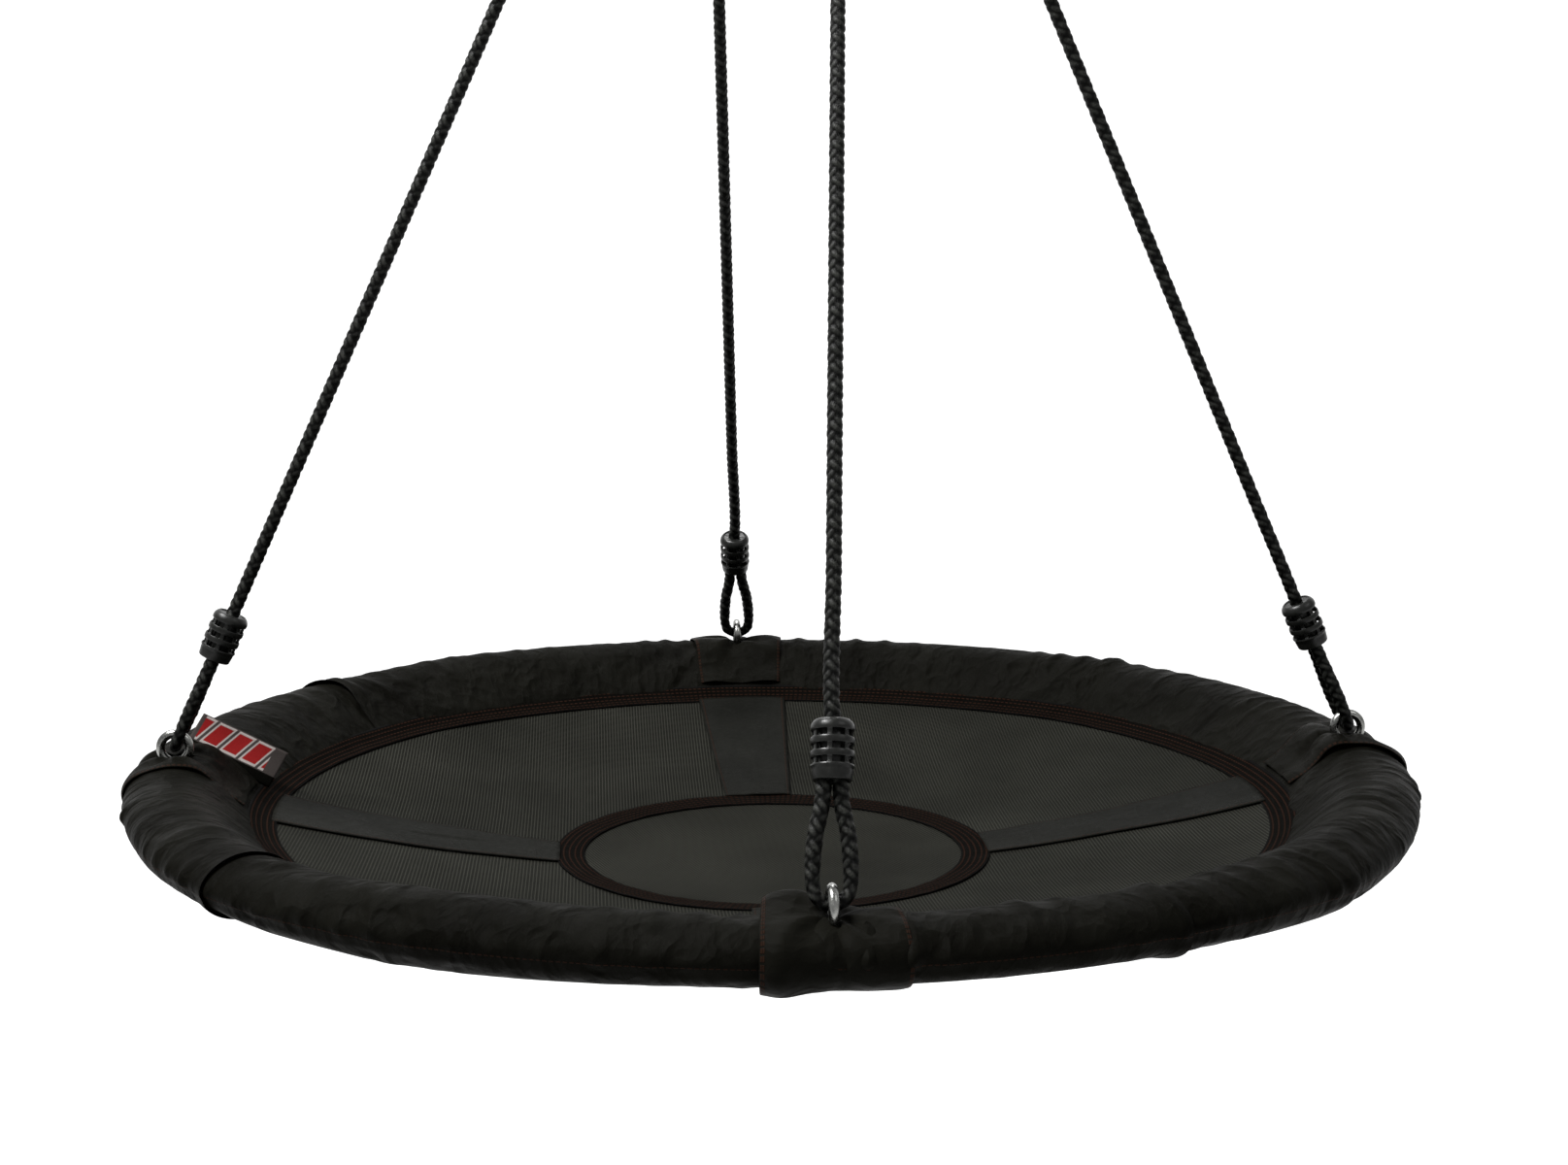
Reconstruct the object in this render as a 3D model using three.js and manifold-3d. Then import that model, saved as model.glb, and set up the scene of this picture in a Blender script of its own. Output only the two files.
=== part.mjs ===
// Round nest swing: a padded ring with a mesh seat, hung by four ropes from two steel rings
// under a ceiling plate. Millimetres, +Z up. The origin is the centre of the plate's top face.
// X runs from one hanging ring to the other; the four eyes lie at 45 degrees to it.
import * as THREE from 'three';
import { mergeVertices } from 'three/addons/utils/BufferGeometryUtils.js';
import Module from 'manifold-3d';

const wasm = await Module();
wasm.setup();

// Driving dimensions
const GAP = 0.3; // clearance between pieces that touch
const LIFT = 0.35; // clearance under a collar or tape that lies on another fabric
const EYE_RADIUS = 512; // circle through the four eyes
const JOINT_RADIUS = 523; // rim centre line at the four tube joints
const EYE_DROP = 1070; // plate face down to the eye centres
const PIVOT_DROP = 36; // plate face down to the axis that the hanging rings swing on
const PIVOT_OFFSET = 80; // from the middle of the plate to each hanging ring
const RIM_DROP = 30; // rim centre line below the eye centres
const TUBE = { radius: 12.5, wall: 2 };
const COVER = { halfWidth: 37, halfHeight: 23.3, thickness: 1.5 };
const ROPE_RADIUS = 5;
const EYE = { ringRadius: 12.25, wireRadius: 3.75, shankRadius: 4, play: 2 };
const HANGING_RING = { ringRadius: 29, wireRadius: 4, play: 0.9 };
const BOW = { wireRadius: 4, halfWidth: 18, cornerRadius: 11 };
const PLATE = { length: 260, width: 60, thickness: 6, holeX: 114, holeY: 18, holeRadius: 4.5 };
const CLAMP = { radius: 15, height: 42, start: 71.5, boreRoom: 0.5 };
const DISH = { bottom: -110.7, edgeRadius: 425, edgeHeight: -57 };
const CENTRE_TAPE = { inner: 165, outer: 190 };
const OUTER_TAPE = { inner: 425, outer: 449 };
const TAPE_THICKNESS = 1.4;
const MESH_THICKNESS = 1.2;
const COLLAR = { halfAngle: 5.4, thickness: 1.8, innerRadius: 452, lastOvalAngle: -146 };
const STRAP = { halfWidthInner: 31, halfWidthOuter: 45, thickness: 1.2, endRoom: 0.5, sag: 0.25 };
const JOINT_SLEEVE = { halfAngle: 10, wall: 2, play: 0.4 };

const DEG = Math.PI / 180;
const QUARTER_ANGLES = [-44.975, -35, -25, -15, -5.4, 0, 5.4, 15, 25, 35, 44.975].map((a) => a * DEG);

const material = (color, roughness, metalness = 0) =>
  new THREE.MeshStandardMaterial({ color, roughness, metalness });
const LOOKS = {
  nylon: () => material(0x15160f, 0.55),
  mesh: () => material(0x24261c, 0.75),
  tape: () => material(0x17120e, 0.8),
  rope: () => material(0x121212, 0.7),
  plastic: () => material(0x101010, 0.5),
  zinc: () => material(0xc8ccd0, 0.3, 0.9),
  tube: () => material(0x8c9092, 0.45, 0.8),
  plate: () => material(0x9a9d9f, 0.45, 0.8),
  foam: () => material(0x4a4c50, 0.95),
  label: () => material(0xb8262a, 0.7),
};

// Booleans
function toManifold(geometry) {
  const bare = geometry.clone();
  bare.deleteAttribute('normal');
  bare.deleteAttribute('uv');
  const merged = mergeVertices(bare);
  return new wasm.Manifold(new wasm.Mesh({
    numProp: 3,
    vertProperties: new Float32Array(merged.attributes.position.array),
    triVerts: new Uint32Array(merged.index.array),
  }));
}

function fromManifold(solid) {
  const mesh = solid.getMesh();
  const geometry = new THREE.BufferGeometry();
  geometry.setAttribute('position', new THREE.BufferAttribute(mesh.vertProperties, 3));
  geometry.setIndex(new THREE.BufferAttribute(mesh.triVerts, 1));
  return geometry;
}

const cut = (body, ...tools) =>
  fromManifold(tools.reduce((solid, tool) => solid.subtract(toManifold(tool)), toManifold(body)));
const join = (body, ...others) =>
  fromManifold(others.reduce((solid, other) => solid.add(toManifold(other)), toManifold(body)));

// Sections
function ellipse(x, z, halfWidth, halfHeight, count) {
  return Array.from({ length: count }, (_, i) => {
    const angle = (2 * Math.PI * (i + 0.5)) / count;
    return new THREE.Vector2(x + halfWidth * Math.cos(angle), z + halfHeight * Math.sin(angle));
  });
}

// The same path moved sideways (to the left of its direction), with mitred corners.
function offsetPath(path, distance) {
  return path.map((point, i) => {
    const before = path[Math.max(i - 1, 0)];
    const after = path[Math.min(i + 1, path.length - 1)];
    const into = point.clone().sub(before).normalize();
    const away = after.clone().sub(point).normalize();
    if (i === 0) into.copy(away);
    if (i === path.length - 1) away.copy(into);
    const side = into.add(away).normalize();
    const stretch = 1 / Math.max(side.dot(point.clone().sub(before).normalize()), 0.5);
    const reach = distance * (i === 0 ? 1 : stretch);
    return new THREE.Vector2(point.x - side.y * reach, point.y + side.x * reach);
  });
}

const band = (path, near, far) => [...offsetPath(path, near), ...offsetPath(path, far).reverse()];

// The rim is four arcs, each a little flatter than the full circle, that meet at the tube joints.
const cornerX = JOINT_RADIUS * Math.SQRT1_2;
const arcShift = (2 * cornerX * cornerX - EYE_RADIUS ** 2) / (2 * (EYE_RADIUS - cornerX));
const arcRadius = EYE_RADIUS + arcShift;

function rimRadius(angle) {
  const fromEye = angle - (Math.PI / 2) * Math.round(angle / (Math.PI / 2));
  const across = arcShift * Math.sin(fromEye);
  return Math.sqrt(arcRadius ** 2 - across ** 2) - arcShift * Math.cos(fromEye);
}

// A section point at an angle from the eye's direction. The centre of the seat stays round.
function place(section, angle) {
  const span = OUTER_TAPE.inner - CENTRE_TAPE.outer;
  const share = THREE.MathUtils.clamp((section.x - CENTRE_TAPE.outer) / span, 0, 1);
  const radius = section.x + share * (rimRadius(angle) - EYE_RADIUS);
  return [radius * Math.cos(angle), radius * Math.sin(angle), section.y];
}

// A section carried round the seat's axis through the given angles, closed at both ends, or
// joined end to end when it is a full ring.
function sweepRound(outline, angles, { hole = [], ring = false } = {}) {
  const contour = THREE.ShapeUtils.isClockWise(outline) ? [...outline].reverse() : outline;
  const inner = hole.length && !THREE.ShapeUtils.isClockWise(hole) ? [...hole].reverse() : hole;
  const points = [...contour, ...inner];
  const positions = angles.flatMap((angle) => points.flatMap((point) => place(point, angle)));
  const count = points.length;
  const index = [];
  const wall = (from, length) => {
    for (let s = 0; s < angles.length - (ring ? 0 : 1); s += 1) {
      const here = s * count;
      const next = ((s + 1) % angles.length) * count;
      for (let i = 0; i < length; i += 1) {
        const a = from + i;
        const b = from + ((i + 1) % length);
        index.push(here + a, next + b, next + a, here + a, here + b, next + b);
      }
    }
  };
  wall(0, contour.length);
  if (inner.length) wall(contour.length, inner.length);
  if (!ring) {
    const last = (angles.length - 1) * count;
    for (const [a, b, c] of THREE.ShapeUtils.triangulateShape(contour, inner.length ? [inner] : [])) {
      index.push(a, c, b, last + a, last + b, last + c);
    }
  }
  return solidFrom(positions, index);
}

// A closed body from points and triangles, turned so that its faces point out.
function solidFrom(positions, index) {
  const corner = (i) => new THREE.Vector3(...positions.slice(3 * i, 3 * i + 3));
  let volume = 0;
  for (let t = 0; t < index.length; t += 3) {
    const [a, b, c] = [corner(index[t]), corner(index[t + 1]), corner(index[t + 2])];
    volume += a.dot(b.cross(c));
  }
  const geometry = new THREE.BufferGeometry();
  geometry.setAttribute('position', new THREE.Float32BufferAttribute(positions, 3));
  geometry.setIndex(volume > 0 ? index : index.reverse());
  return geometry;
}

// Points on the seat surface below the eyes
const dishRise = (DISH.edgeHeight - DISH.bottom) / DISH.edgeRadius ** 2;
const dish = (radius) => DISH.bottom + dishRise * radius ** 2;
const dishPath = (from, to, count) => Array.from({ length: count + 1 }, (_, i) => {
  const radius = from + ((to - from) * i) / count;
  return new THREE.Vector2(radius, dish(radius));
});

// The skirt runs from the middle of the outer tape up to the padded oval.
const seamRadius = (OUTER_TAPE.inner + OUTER_TAPE.outer) / 2 - 1;
const seam = new THREE.Vector2(seamRadius + GAP, dish(seamRadius));
const OVAL_POINTS = 12;
function ovalPoint(degrees) {
  return new THREE.Vector2(
    EYE_RADIUS + COVER.halfWidth * Math.cos(degrees * DEG),
    -RIM_DROP + COVER.halfHeight * Math.sin(degrees * DEG),
  );
}
const SKIRT_TOP_ANGLE = 150;
const SKIRT_BOTTOM_ANGLE = 199;
const skirtTop = ovalPoint(SKIRT_TOP_ANGLE);
const skirtHeight = (radius) =>
  THREE.MathUtils.mapLinear(radius, seam.x, skirtTop.x, seam.y, skirtTop.y);

// From the skirt over the top of the rim, down its outside and back under it
const coverPath = Array.from({ length: OVAL_POINTS + 1 }, (_, i) =>
  ovalPoint(THREE.MathUtils.lerp(SKIRT_TOP_ANGLE, SKIRT_BOTTOM_ANGLE - 360, i / OVAL_POINTS)));

function tubeQuarter() {
  const tube = sweepRound(
    ellipse(EYE_RADIUS, -RIM_DROP, TUBE.radius, TUBE.radius, 8), QUARTER_ANGLES,
    { hole: ellipse(EYE_RADIUS, -RIM_DROP, TUBE.radius - TUBE.wall, TUBE.radius - TUBE.wall, 8) },
  );
  return cut(tube, boltHole());
}

// A vertical cylinder on the eye's centre line
function upright(radius, bottom, top, sides) {
  const cylinder = new THREE.CylinderGeometry(radius, radius, top - bottom, sides);
  return cylinder.rotateX(Math.PI / 2).translate(EYE_RADIUS, 0, (top + bottom) / 2);
}

// Heights on an eye bolt are measured from the centre of its eye.
const SHANK_TOP = -13;
const FLANGE = { radius: 7.5, bottom: -17.1, top: -15.6 };
const NUT = { cornerRadius: 7.5, top: -RIM_DROP - TUBE.radius - GAP, height: 6.5, threadPast: 1.2 };
const EYE_SLOT = { length: 33.4, width: 8.6, bottom: -17, top: 13 };
const BELOW_RIM = -60;

const boltHole = () => upright(EYE.shankRadius + GAP, BELOW_RIM, 0, 10);
const flangeRoom = () => upright(FLANGE.radius + 1, -20, 0, 12);
const nutRoom = () => upright(NUT.cornerRadius + 2.5, BELOW_RIM, -40, 12);
function eyeSlot() {
  const { length, width, bottom, top } = EYE_SLOT;
  return new THREE.BoxGeometry(length, width, top - bottom)
    .translate(EYE_RADIUS, 0, (top + bottom) / 2);
}

function foamQuarter() {
  const outer = { x: COVER.halfWidth - COVER.thickness, z: COVER.halfHeight - COVER.thickness };
  const foam = sweepRound(
    ellipse(EYE_RADIUS, -RIM_DROP, outer.x - GAP, outer.z - GAP, 10), QUARTER_ANGLES,
    { hole: ellipse(EYE_RADIUS, -RIM_DROP, TUBE.radius + LIFT, TUBE.radius + LIFT, 8) },
  );
  return cut(foam, eyeSlot(), flangeRoom(), nutRoom());
}

function coverQuarter() {
  const tip = seam.clone();
  const underTip = new THREE.Vector2(seam.x, seam.y - COVER.thickness);
  const cover = sweepRound([tip, ...coverPath, underTip], QUARTER_ANGLES, {
    hole: ellipse(EYE_RADIUS, -RIM_DROP, COVER.halfWidth - COVER.thickness,
      COVER.halfHeight - COVER.thickness, 10),
  });
  return cut(cover, eyeSlot());
}

function collar() {
  const start = new THREE.Vector2(COLLAR.innerRadius, skirtHeight(COLLAR.innerRadius));
  const end = ovalPoint(COLLAR.lastOvalAngle);
  const path = [start, ...coverPath.slice(0, -1), end];
  const angles = [-COLLAR.halfAngle, 0, COLLAR.halfAngle].map((a) => a * DEG);
  return cut(sweepRound(band(path, LIFT, LIFT + COLLAR.thickness), angles), eyeSlot());
}

function eyeBolt() {
  const ring = new THREE.TorusGeometry(EYE.ringRadius, EYE.wireRadius, 8, 14);
  ring.rotateX(Math.PI / 2).translate(EYE_RADIUS, 0, 0);
  const shank = upright(EYE.shankRadius, NUT.top - NUT.height - NUT.threadPast, SHANK_TOP, 10);
  const flange = upright(FLANGE.radius, FLANGE.bottom, FLANGE.top, 12);
  return join(ring, flange, shank);
}

function eyeNut() {
  const hex = upright(NUT.cornerRadius, NUT.top - NUT.height, NUT.top, 6);
  return cut(hex, boltHole());
}

// A bent sleeve inside the two tube ends that meet at a joint, as long as one tube step each way
function jointSleeve() {
  const { halfAngle, wall, play } = JOINT_SLEEVE;
  const outer = TUBE.radius - TUBE.wall - play;
  const inner = outer - wall;
  const angles = [-45 - halfAngle, -45, -45 + halfAngle].map((a) => a * DEG);
  const outline = ellipse(EYE_RADIUS, -RIM_DROP, outer, outer, 8);
  return sweepRound(outline, angles, { hole: ellipse(EYE_RADIUS, -RIM_DROP, inner, inner, 8) });
}

function tape({ inner, outer }, pathBelow, ringAngles) {
  const path = pathBelow(inner, outer);
  return sweepRound(band(path, LIFT, LIFT + TAPE_THICKNESS), ringAngles, { ring: true });
}

const fullCircle = (count) => Array.from({ length: count }, (_, i) => (2 * Math.PI * i) / count);

// The mesh between two straps, from the centre tape's seam to the outer tape's seam
const CENTRE_SEAM = (CENTRE_TAPE.inner + CENTRE_TAPE.outer) / 2;
const PANEL_EDGE_ANGLE = 0.06;
const CENTRE_MESH_ROOM = 1.5;
function meshPanel() {
  const path = dishPath(CENTRE_SEAM + GAP / 2, seamRadius, 5);
  const angles = [PANEL_EDGE_ANGLE, 5.4, 15, 25, 35, 45, 55, 65, 75, 84.6, 90 - PANEL_EDGE_ANGLE]
    .map((a) => a * DEG);
  return sweepRound(band(path, 0, -MESH_THICKNESS), angles);
}

function centreMesh() {
  const top = dishPath(0, CENTRE_SEAM - CENTRE_MESH_ROOM, 2);
  const bottom = offsetPath(top, -MESH_THICKNESS).reverse();
  bottom[bottom.length - 1].x = 0;
  return new THREE.LatheGeometry([...bottom.reverse(), ...top.reverse()], 24).rotateX(Math.PI / 2);
}

// A flat band on the mesh, wider at the rim, from one tape to the other
function strap() {
  const path = dishPath(CENTRE_TAPE.outer + STRAP.endRoom, OUTER_TAPE.inner - STRAP.endRoom, 4);
  const lift = GAP + STRAP.sag;
  const positions = [];
  for (const { x, y } of path) {
    const share = (x - CENTRE_TAPE.outer) / (OUTER_TAPE.inner - CENTRE_TAPE.outer);
    const half = THREE.MathUtils.lerp(STRAP.halfWidthInner, STRAP.halfWidthOuter, share);
    const reach = Math.sqrt(x * x - share * half * half);
    for (const [side, height] of [[-1, lift], [1, lift], [1, lift + STRAP.thickness],
      [-1, lift + STRAP.thickness]]) {
      positions.push(reach, side * half, y + height);
    }
  }
  return prismFrom(positions, path.length);
}

// A closed body through a row of four-cornered sections
function prismFrom(positions, sections) {
  const index = [];
  for (let s = 0; s < sections - 1; s += 1) {
    for (let i = 0; i < 4; i += 1) {
      const a = 4 * s + i;
      const b = 4 * s + ((i + 1) % 4);
      index.push(a, b, b + 4, a, b + 4, a + 4);
    }
  }
  const last = 4 * (sections - 1);
  index.push(0, 2, 1, 0, 3, 2, last, last + 1, last + 2, last, last + 2, last + 3);
  return solidFrom(positions, index);
}

// Ropes. Each runs between the top wire of its eye and the bottom wire of its hanging ring.
class StationPath extends THREE.CatmullRomCurve3 {
  getPointAt(share, target) {
    return this.getPoint(share, target);
  }

  getTangentAt(share, target) {
    return this.getTangent(share, target);
  }
}

// The frame of one rope: where it wraps the ring and the eye, and the two loops' sideways directions
function ropeFrame(eyeAngle) {
  const eye = new THREE.Vector3(
    EYE_RADIUS * Math.cos(eyeAngle), EYE_RADIUS * Math.sin(eyeAngle), -EYE_DROP,
  );
  const ringCentre = hangingRingCentre(Math.sign(eye.x));
  const spread = Math.atan2(eye.y, ringCentre.z - eye.z);
  const top = ringCentre.clone().add(new THREE.Vector3(
    0, HANGING_RING.ringRadius * Math.sin(spread), -HANGING_RING.ringRadius * Math.cos(spread),
  ));
  const outward = new THREE.Vector3(Math.cos(eyeAngle), Math.sin(eyeAngle), 0);
  const along = new THREE.Vector3(-outward.y, outward.x, 0);
  const pull = top.clone().sub(eye);
  pull.addScaledVector(along, -pull.dot(along)).normalize();
  const bottom = eye.clone().addScaledVector(pull, EYE.ringRadius);
  const axis = top.clone().sub(bottom);
  const length = axis.length();
  axis.normalize();
  const lowerSide = along.clone().addScaledVector(axis, -along.dot(axis)).normalize();
  const upperSide = new THREE.Vector3(1, 0, 0).addScaledVector(axis, -axis.x).normalize();
  return { bottom, axis, length, lowerSide, upperSide };
}

function hangingRingCentre(side) {
  const rise = BOW.wireRadius + HANGING_RING.wireRadius + GAP;
  return new THREE.Vector3(
    side * PIVOT_OFFSET, 0, -PIVOT_DROP + rise - HANGING_RING.ringRadius,
  );
}

// Half of a rope as [distance from the wire, sideways] points: tail, bight and the way back
const BIGHT_RADIUS = 12.5;
const TWIN_OFFSET = ROPE_RADIUS + GAP;
const TAIL_END = CLAMP.start + 24;
const FREE_START = CLAMP.start + CLAMP.height + 2;
const FREE_STEPS = 16;
function loopPoints({ wireRadius, play }) {
  const centre = BIGHT_RADIUS - (wireRadius + play + ROPE_RADIUS);
  const bight = [180, 216, 252, 288, 324, 360].map((degrees) => [
    centre + BIGHT_RADIUS * Math.sin(degrees * DEG), BIGHT_RADIUS * Math.cos(degrees * DEG),
  ]);
  const leg = [[34, 11.2], [53, 7.8], [CLAMP.start, TWIN_OFFSET + 0.2], [TAIL_END, TWIN_OFFSET]];
  const tail = leg.map(([reach, side]) => [reach, -side]).reverse();
  return [...tail, ...bight, ...leg, [FREE_START, 0]];
}

function rope(frame) {
  const point = (reach, side, sideways) => frame.bottom.clone()
    .addScaledVector(frame.axis, reach).addScaledVector(sideways, side);
  const lower = loopPoints(EYE)
    .map(([reach, side]) => point(reach, side, frame.lowerSide));
  const upper = loopPoints(HANGING_RING)
    .map(([reach, side]) => point(frame.length - reach, side, frame.upperSide)).reverse();
  const run = Array.from({ length: FREE_STEPS - 1 }, (_, i) => {
    const reach = THREE.MathUtils.lerp(FREE_START, frame.length - FREE_START, (i + 1) / FREE_STEPS);
    return point(reach, 0, frame.lowerSide);
  });
  const path = new StationPath([...lower, ...run, ...upper], false, 'centripetal');
  const section = new THREE.Shape(ellipse(0, 0, ROPE_RADIUS, ROPE_RADIUS, 8));
  const settings = { steps: path.points.length - 1, bevelEnabled: false, extrudePath: path };
  return new THREE.ExtrudeGeometry(section, settings);
}

// A cage clamp: a barrel with a collar at each end and a flat bore for the two strands
function clampGeometry() {
  const { radius, height } = CLAMP;
  const profile = [[0, 0], [12, 0], [13.8, 2], [13.8, 8], [radius, 10], [radius, 34], [13.8, 36],
    [13.8, 40], [12, height], [0, height]].map(([x, y]) => new THREE.Vector2(x, y));
  const barrel = new THREE.LatheGeometry(profile, 10).rotateX(Math.PI / 2);
  const bore = new THREE.Shape();
  const half = TWIN_OFFSET + CLAMP.boreRoom;
  const reach = ROPE_RADIUS + CLAMP.boreRoom;
  bore.absarc(half, 0, reach, -Math.PI / 2, Math.PI / 2, false);
  bore.absarc(-half, 0, reach, Math.PI / 2, (3 * Math.PI) / 2, false);
  const past = 10;
  const settings = { depth: height + 2 * past, bevelEnabled: false, curveSegments: 4 };
  return cut(barrel, new THREE.ExtrudeGeometry(bore, settings).translate(0, 0, -past));
}

function placeClamp(mesh, origin, axis, side) {
  const across = new THREE.Vector3().crossVectors(axis, side);
  const basis = new THREE.Matrix4().makeBasis(side, across, axis);
  mesh.quaternion.setFromRotationMatrix(basis);
  mesh.position.copy(origin).addScaledVector(axis, CLAMP.start);
}

// Ceiling fitting
function ceilingPlate() {
  const outline = new THREE.Shape();
  const corner = 12;
  const x = PLATE.length / 2 - corner;
  const y = PLATE.width / 2 - corner;
  outline.absarc(x, y, corner, 0, Math.PI / 2);
  outline.absarc(-x, y, corner, Math.PI / 2, Math.PI);
  outline.absarc(-x, -y, corner, Math.PI, 1.5 * Math.PI);
  outline.absarc(x, -y, corner, 1.5 * Math.PI, 2 * Math.PI);
  for (const [sideX, sideY] of [[1, 1], [-1, 1], [-1, -1], [1, -1]]) {
    const hole = new THREE.Path();
    hole.absarc(sideX * PLATE.holeX, sideY * PLATE.holeY, PLATE.holeRadius, 0, 2 * Math.PI, true);
    outline.holes.push(hole);
  }
  const settings = { depth: PLATE.thickness, bevelEnabled: false, curveSegments: 4 };
  return new THREE.ExtrudeGeometry(outline, settings).translate(0, 0, -PLATE.thickness);
}

// A U of round bar, its lower bar on the pivot axis
function plateBow() {
  const { halfWidth, cornerRadius, wireRadius } = BOW;
  const top = -PLATE.thickness - GAP;
  const bend = (side, degrees) => new THREE.Vector3(
    side * (halfWidth - cornerRadius + cornerRadius * Math.cos(degrees * DEG)), 0,
    -PIVOT_DROP + cornerRadius - cornerRadius * Math.sin(degrees * DEG),
  );
  const left = [0, 30, 60, 90].map((degrees) => bend(-1, degrees));
  const right = [90, 60, 30, 0].map((degrees) => bend(1, degrees));
  const path = new StationPath([
    new THREE.Vector3(-halfWidth, 0, top), ...left, ...right, new THREE.Vector3(halfWidth, 0, top),
  ], false, 'centripetal');
  const section = new THREE.Shape(ellipse(0, 0, wireRadius, wireRadius, 8));
  const settings = { steps: path.points.length - 1, bevelEnabled: false, extrudePath: path };
  return new THREE.ExtrudeGeometry(section, settings);
}

// A woven label sewn in at the far edge of the left collar: it runs down the inner slope of the
// rim, standing on its lower edge and leaning away from the collar.
const LABEL = { thickness: 1.2, rise: 20, lean: 14, lift: 3, innerRadius: 440, angle: -5.55 * DEG };
function label() {
  const inner = new THREE.Vector2(LABEL.innerRadius, skirtHeight(LABEL.innerRadius));
  const path = offsetPath([inner, ...coverPath.slice(0, 3)], LABEL.lift);
  const positions = path.flatMap((point) => {
    const x = point.x * Math.cos(LABEL.angle);
    const near = point.x * Math.sin(LABEL.angle) - 1;
    const low = point.y;
    const high = low + LABEL.rise;
    return [
      x, near, low,
      x, near - LABEL.lean, high,
      x, near - LABEL.lean - LABEL.thickness, high,
      x, near - LABEL.thickness, low,
    ];
  });
  return prismFrom(positions, path.length);
}

// Assembly
const swing = new THREE.Group();
function add(parent, name, geometry, look) {
  const mesh = new THREE.Mesh(geometry, LOOKS[look]());
  mesh.name = name;
  parent.add(mesh);
  return mesh;
}

add(swing, 'ceiling_plate', ceilingPlate(), 'plate');
for (const [name, side] of [['a', -1], ['b', 1]]) {
  add(swing, `plate_bow_${name}`, plateBow(), 'plate').position.x = side * PIVOT_OFFSET;
  const { ringRadius, wireRadius } = HANGING_RING;
  const ring = add(swing, `hanging_ring_${name}`,
    new THREE.TorusGeometry(ringRadius, wireRadius, 8, 20), 'zinc');
  ring.rotation.y = Math.PI / 2;
  ring.position.copy(hangingRingCentre(side));
}

const seat = new THREE.Group();
seat.position.z = -EYE_DROP;
swing.add(seat);

const CORNERS = { right: 45, back: 135, left: 225, front: 315 };
for (const [name, degrees] of Object.entries(CORNERS)) {
  const frame = ropeFrame(degrees * DEG);
  add(swing, `rope_${name}`, rope(frame), 'rope');
  placeClamp(add(swing, `lower_clamp_${name}`, clampGeometry(), 'plastic'),
    frame.bottom, frame.axis, frame.lowerSide);
  const down = frame.axis.clone().negate();
  placeClamp(add(swing, `upper_clamp_${name}`, clampGeometry(), 'plastic'),
    frame.bottom.clone().addScaledVector(frame.axis, frame.length), down, frame.upperSide);

  const quarter = new THREE.Group();
  quarter.rotation.z = degrees * DEG;
  seat.add(quarter);
  add(quarter, `frame_tube_${name}`, tubeQuarter(), 'tube');
  add(quarter, `joint_sleeve_${name}`, jointSleeve(), 'tube');
  add(quarter, `foam_${name}`, foamQuarter(), 'foam');
  add(quarter, `cover_${name}`, coverQuarter(), 'nylon');
  add(quarter, `collar_${name}`, collar(), 'nylon');
  add(quarter, `eye_bolt_${name}`, eyeBolt(), 'zinc');
  add(quarter, `eye_nut_${name}`, eyeNut(), 'zinc');
  add(quarter, `mesh_panel_${name}`, meshPanel(), 'mesh');
  add(quarter, `seat_strap_${name}`, strap(), 'nylon');
}

const quarterTurn = QUARTER_ANGLES.slice(0, -1);
const rimAngles = [0, 90, 180, 270].flatMap((turn) => quarterTurn.map((a) => a + turn * DEG));
const ringGroup = new THREE.Group();
ringGroup.rotation.z = CORNERS.right * DEG;
seat.add(ringGroup);
const outerTapePath = (inner, outer) => [
  new THREE.Vector2(inner, dish(inner)), seam, new THREE.Vector2(outer, skirtHeight(outer)),
];
add(ringGroup, 'outer_tape', tape(OUTER_TAPE, outerTapePath, rimAngles), 'tape');
const centreTapePath = (inner, outer) => dishPath(inner, outer, 2);
add(ringGroup, 'centre_tape', tape(CENTRE_TAPE, centreTapePath, fullCircle(24)), 'tape');
add(ringGroup, 'centre_mesh', centreMesh(), 'mesh');

const labelGroup = new THREE.Group();
labelGroup.rotation.z = CORNERS.left * DEG;
seat.add(labelGroup);
add(labelGroup, 'woven_label', label(), 'label');

export default swing;
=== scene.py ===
"""Looks of a round nest swing: a padded ring with a mesh seat on four braided ropes.

Metres, in the CAD frame: +Z up, origin at the centre of the ceiling plate's top face, X from
hanging ring a to hanging ring b. The four eyes lie at 45, 135, 225 and 315 degrees from +X.
"""

import math

import bmesh
import bpy
import numpy as np
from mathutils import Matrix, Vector, noise


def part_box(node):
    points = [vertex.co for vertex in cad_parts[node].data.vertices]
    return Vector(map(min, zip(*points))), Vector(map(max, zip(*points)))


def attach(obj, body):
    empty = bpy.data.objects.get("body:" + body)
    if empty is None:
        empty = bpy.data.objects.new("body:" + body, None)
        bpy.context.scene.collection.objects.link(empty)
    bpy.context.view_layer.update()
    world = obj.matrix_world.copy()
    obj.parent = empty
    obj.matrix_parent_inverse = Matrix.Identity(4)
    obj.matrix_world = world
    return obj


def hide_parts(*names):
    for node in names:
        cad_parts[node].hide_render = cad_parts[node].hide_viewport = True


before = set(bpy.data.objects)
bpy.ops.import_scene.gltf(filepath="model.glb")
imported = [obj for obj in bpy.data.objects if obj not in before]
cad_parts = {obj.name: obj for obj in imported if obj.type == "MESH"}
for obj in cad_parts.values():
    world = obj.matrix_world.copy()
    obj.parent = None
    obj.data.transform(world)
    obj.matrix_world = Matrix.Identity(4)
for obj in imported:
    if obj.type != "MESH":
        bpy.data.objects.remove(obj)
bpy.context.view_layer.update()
scene = bpy.context.scene

QUARTER = math.pi / 2
CORNERS = {"right": 45, "back": 135, "left": 225, "front": 315}
# Each rope's hanging ring, and the side of it along X
PAIR_OF = {"left": ("a", -1), "back": ("a", -1), "right": ("b", 1), "front": ("b", 1)}

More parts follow.
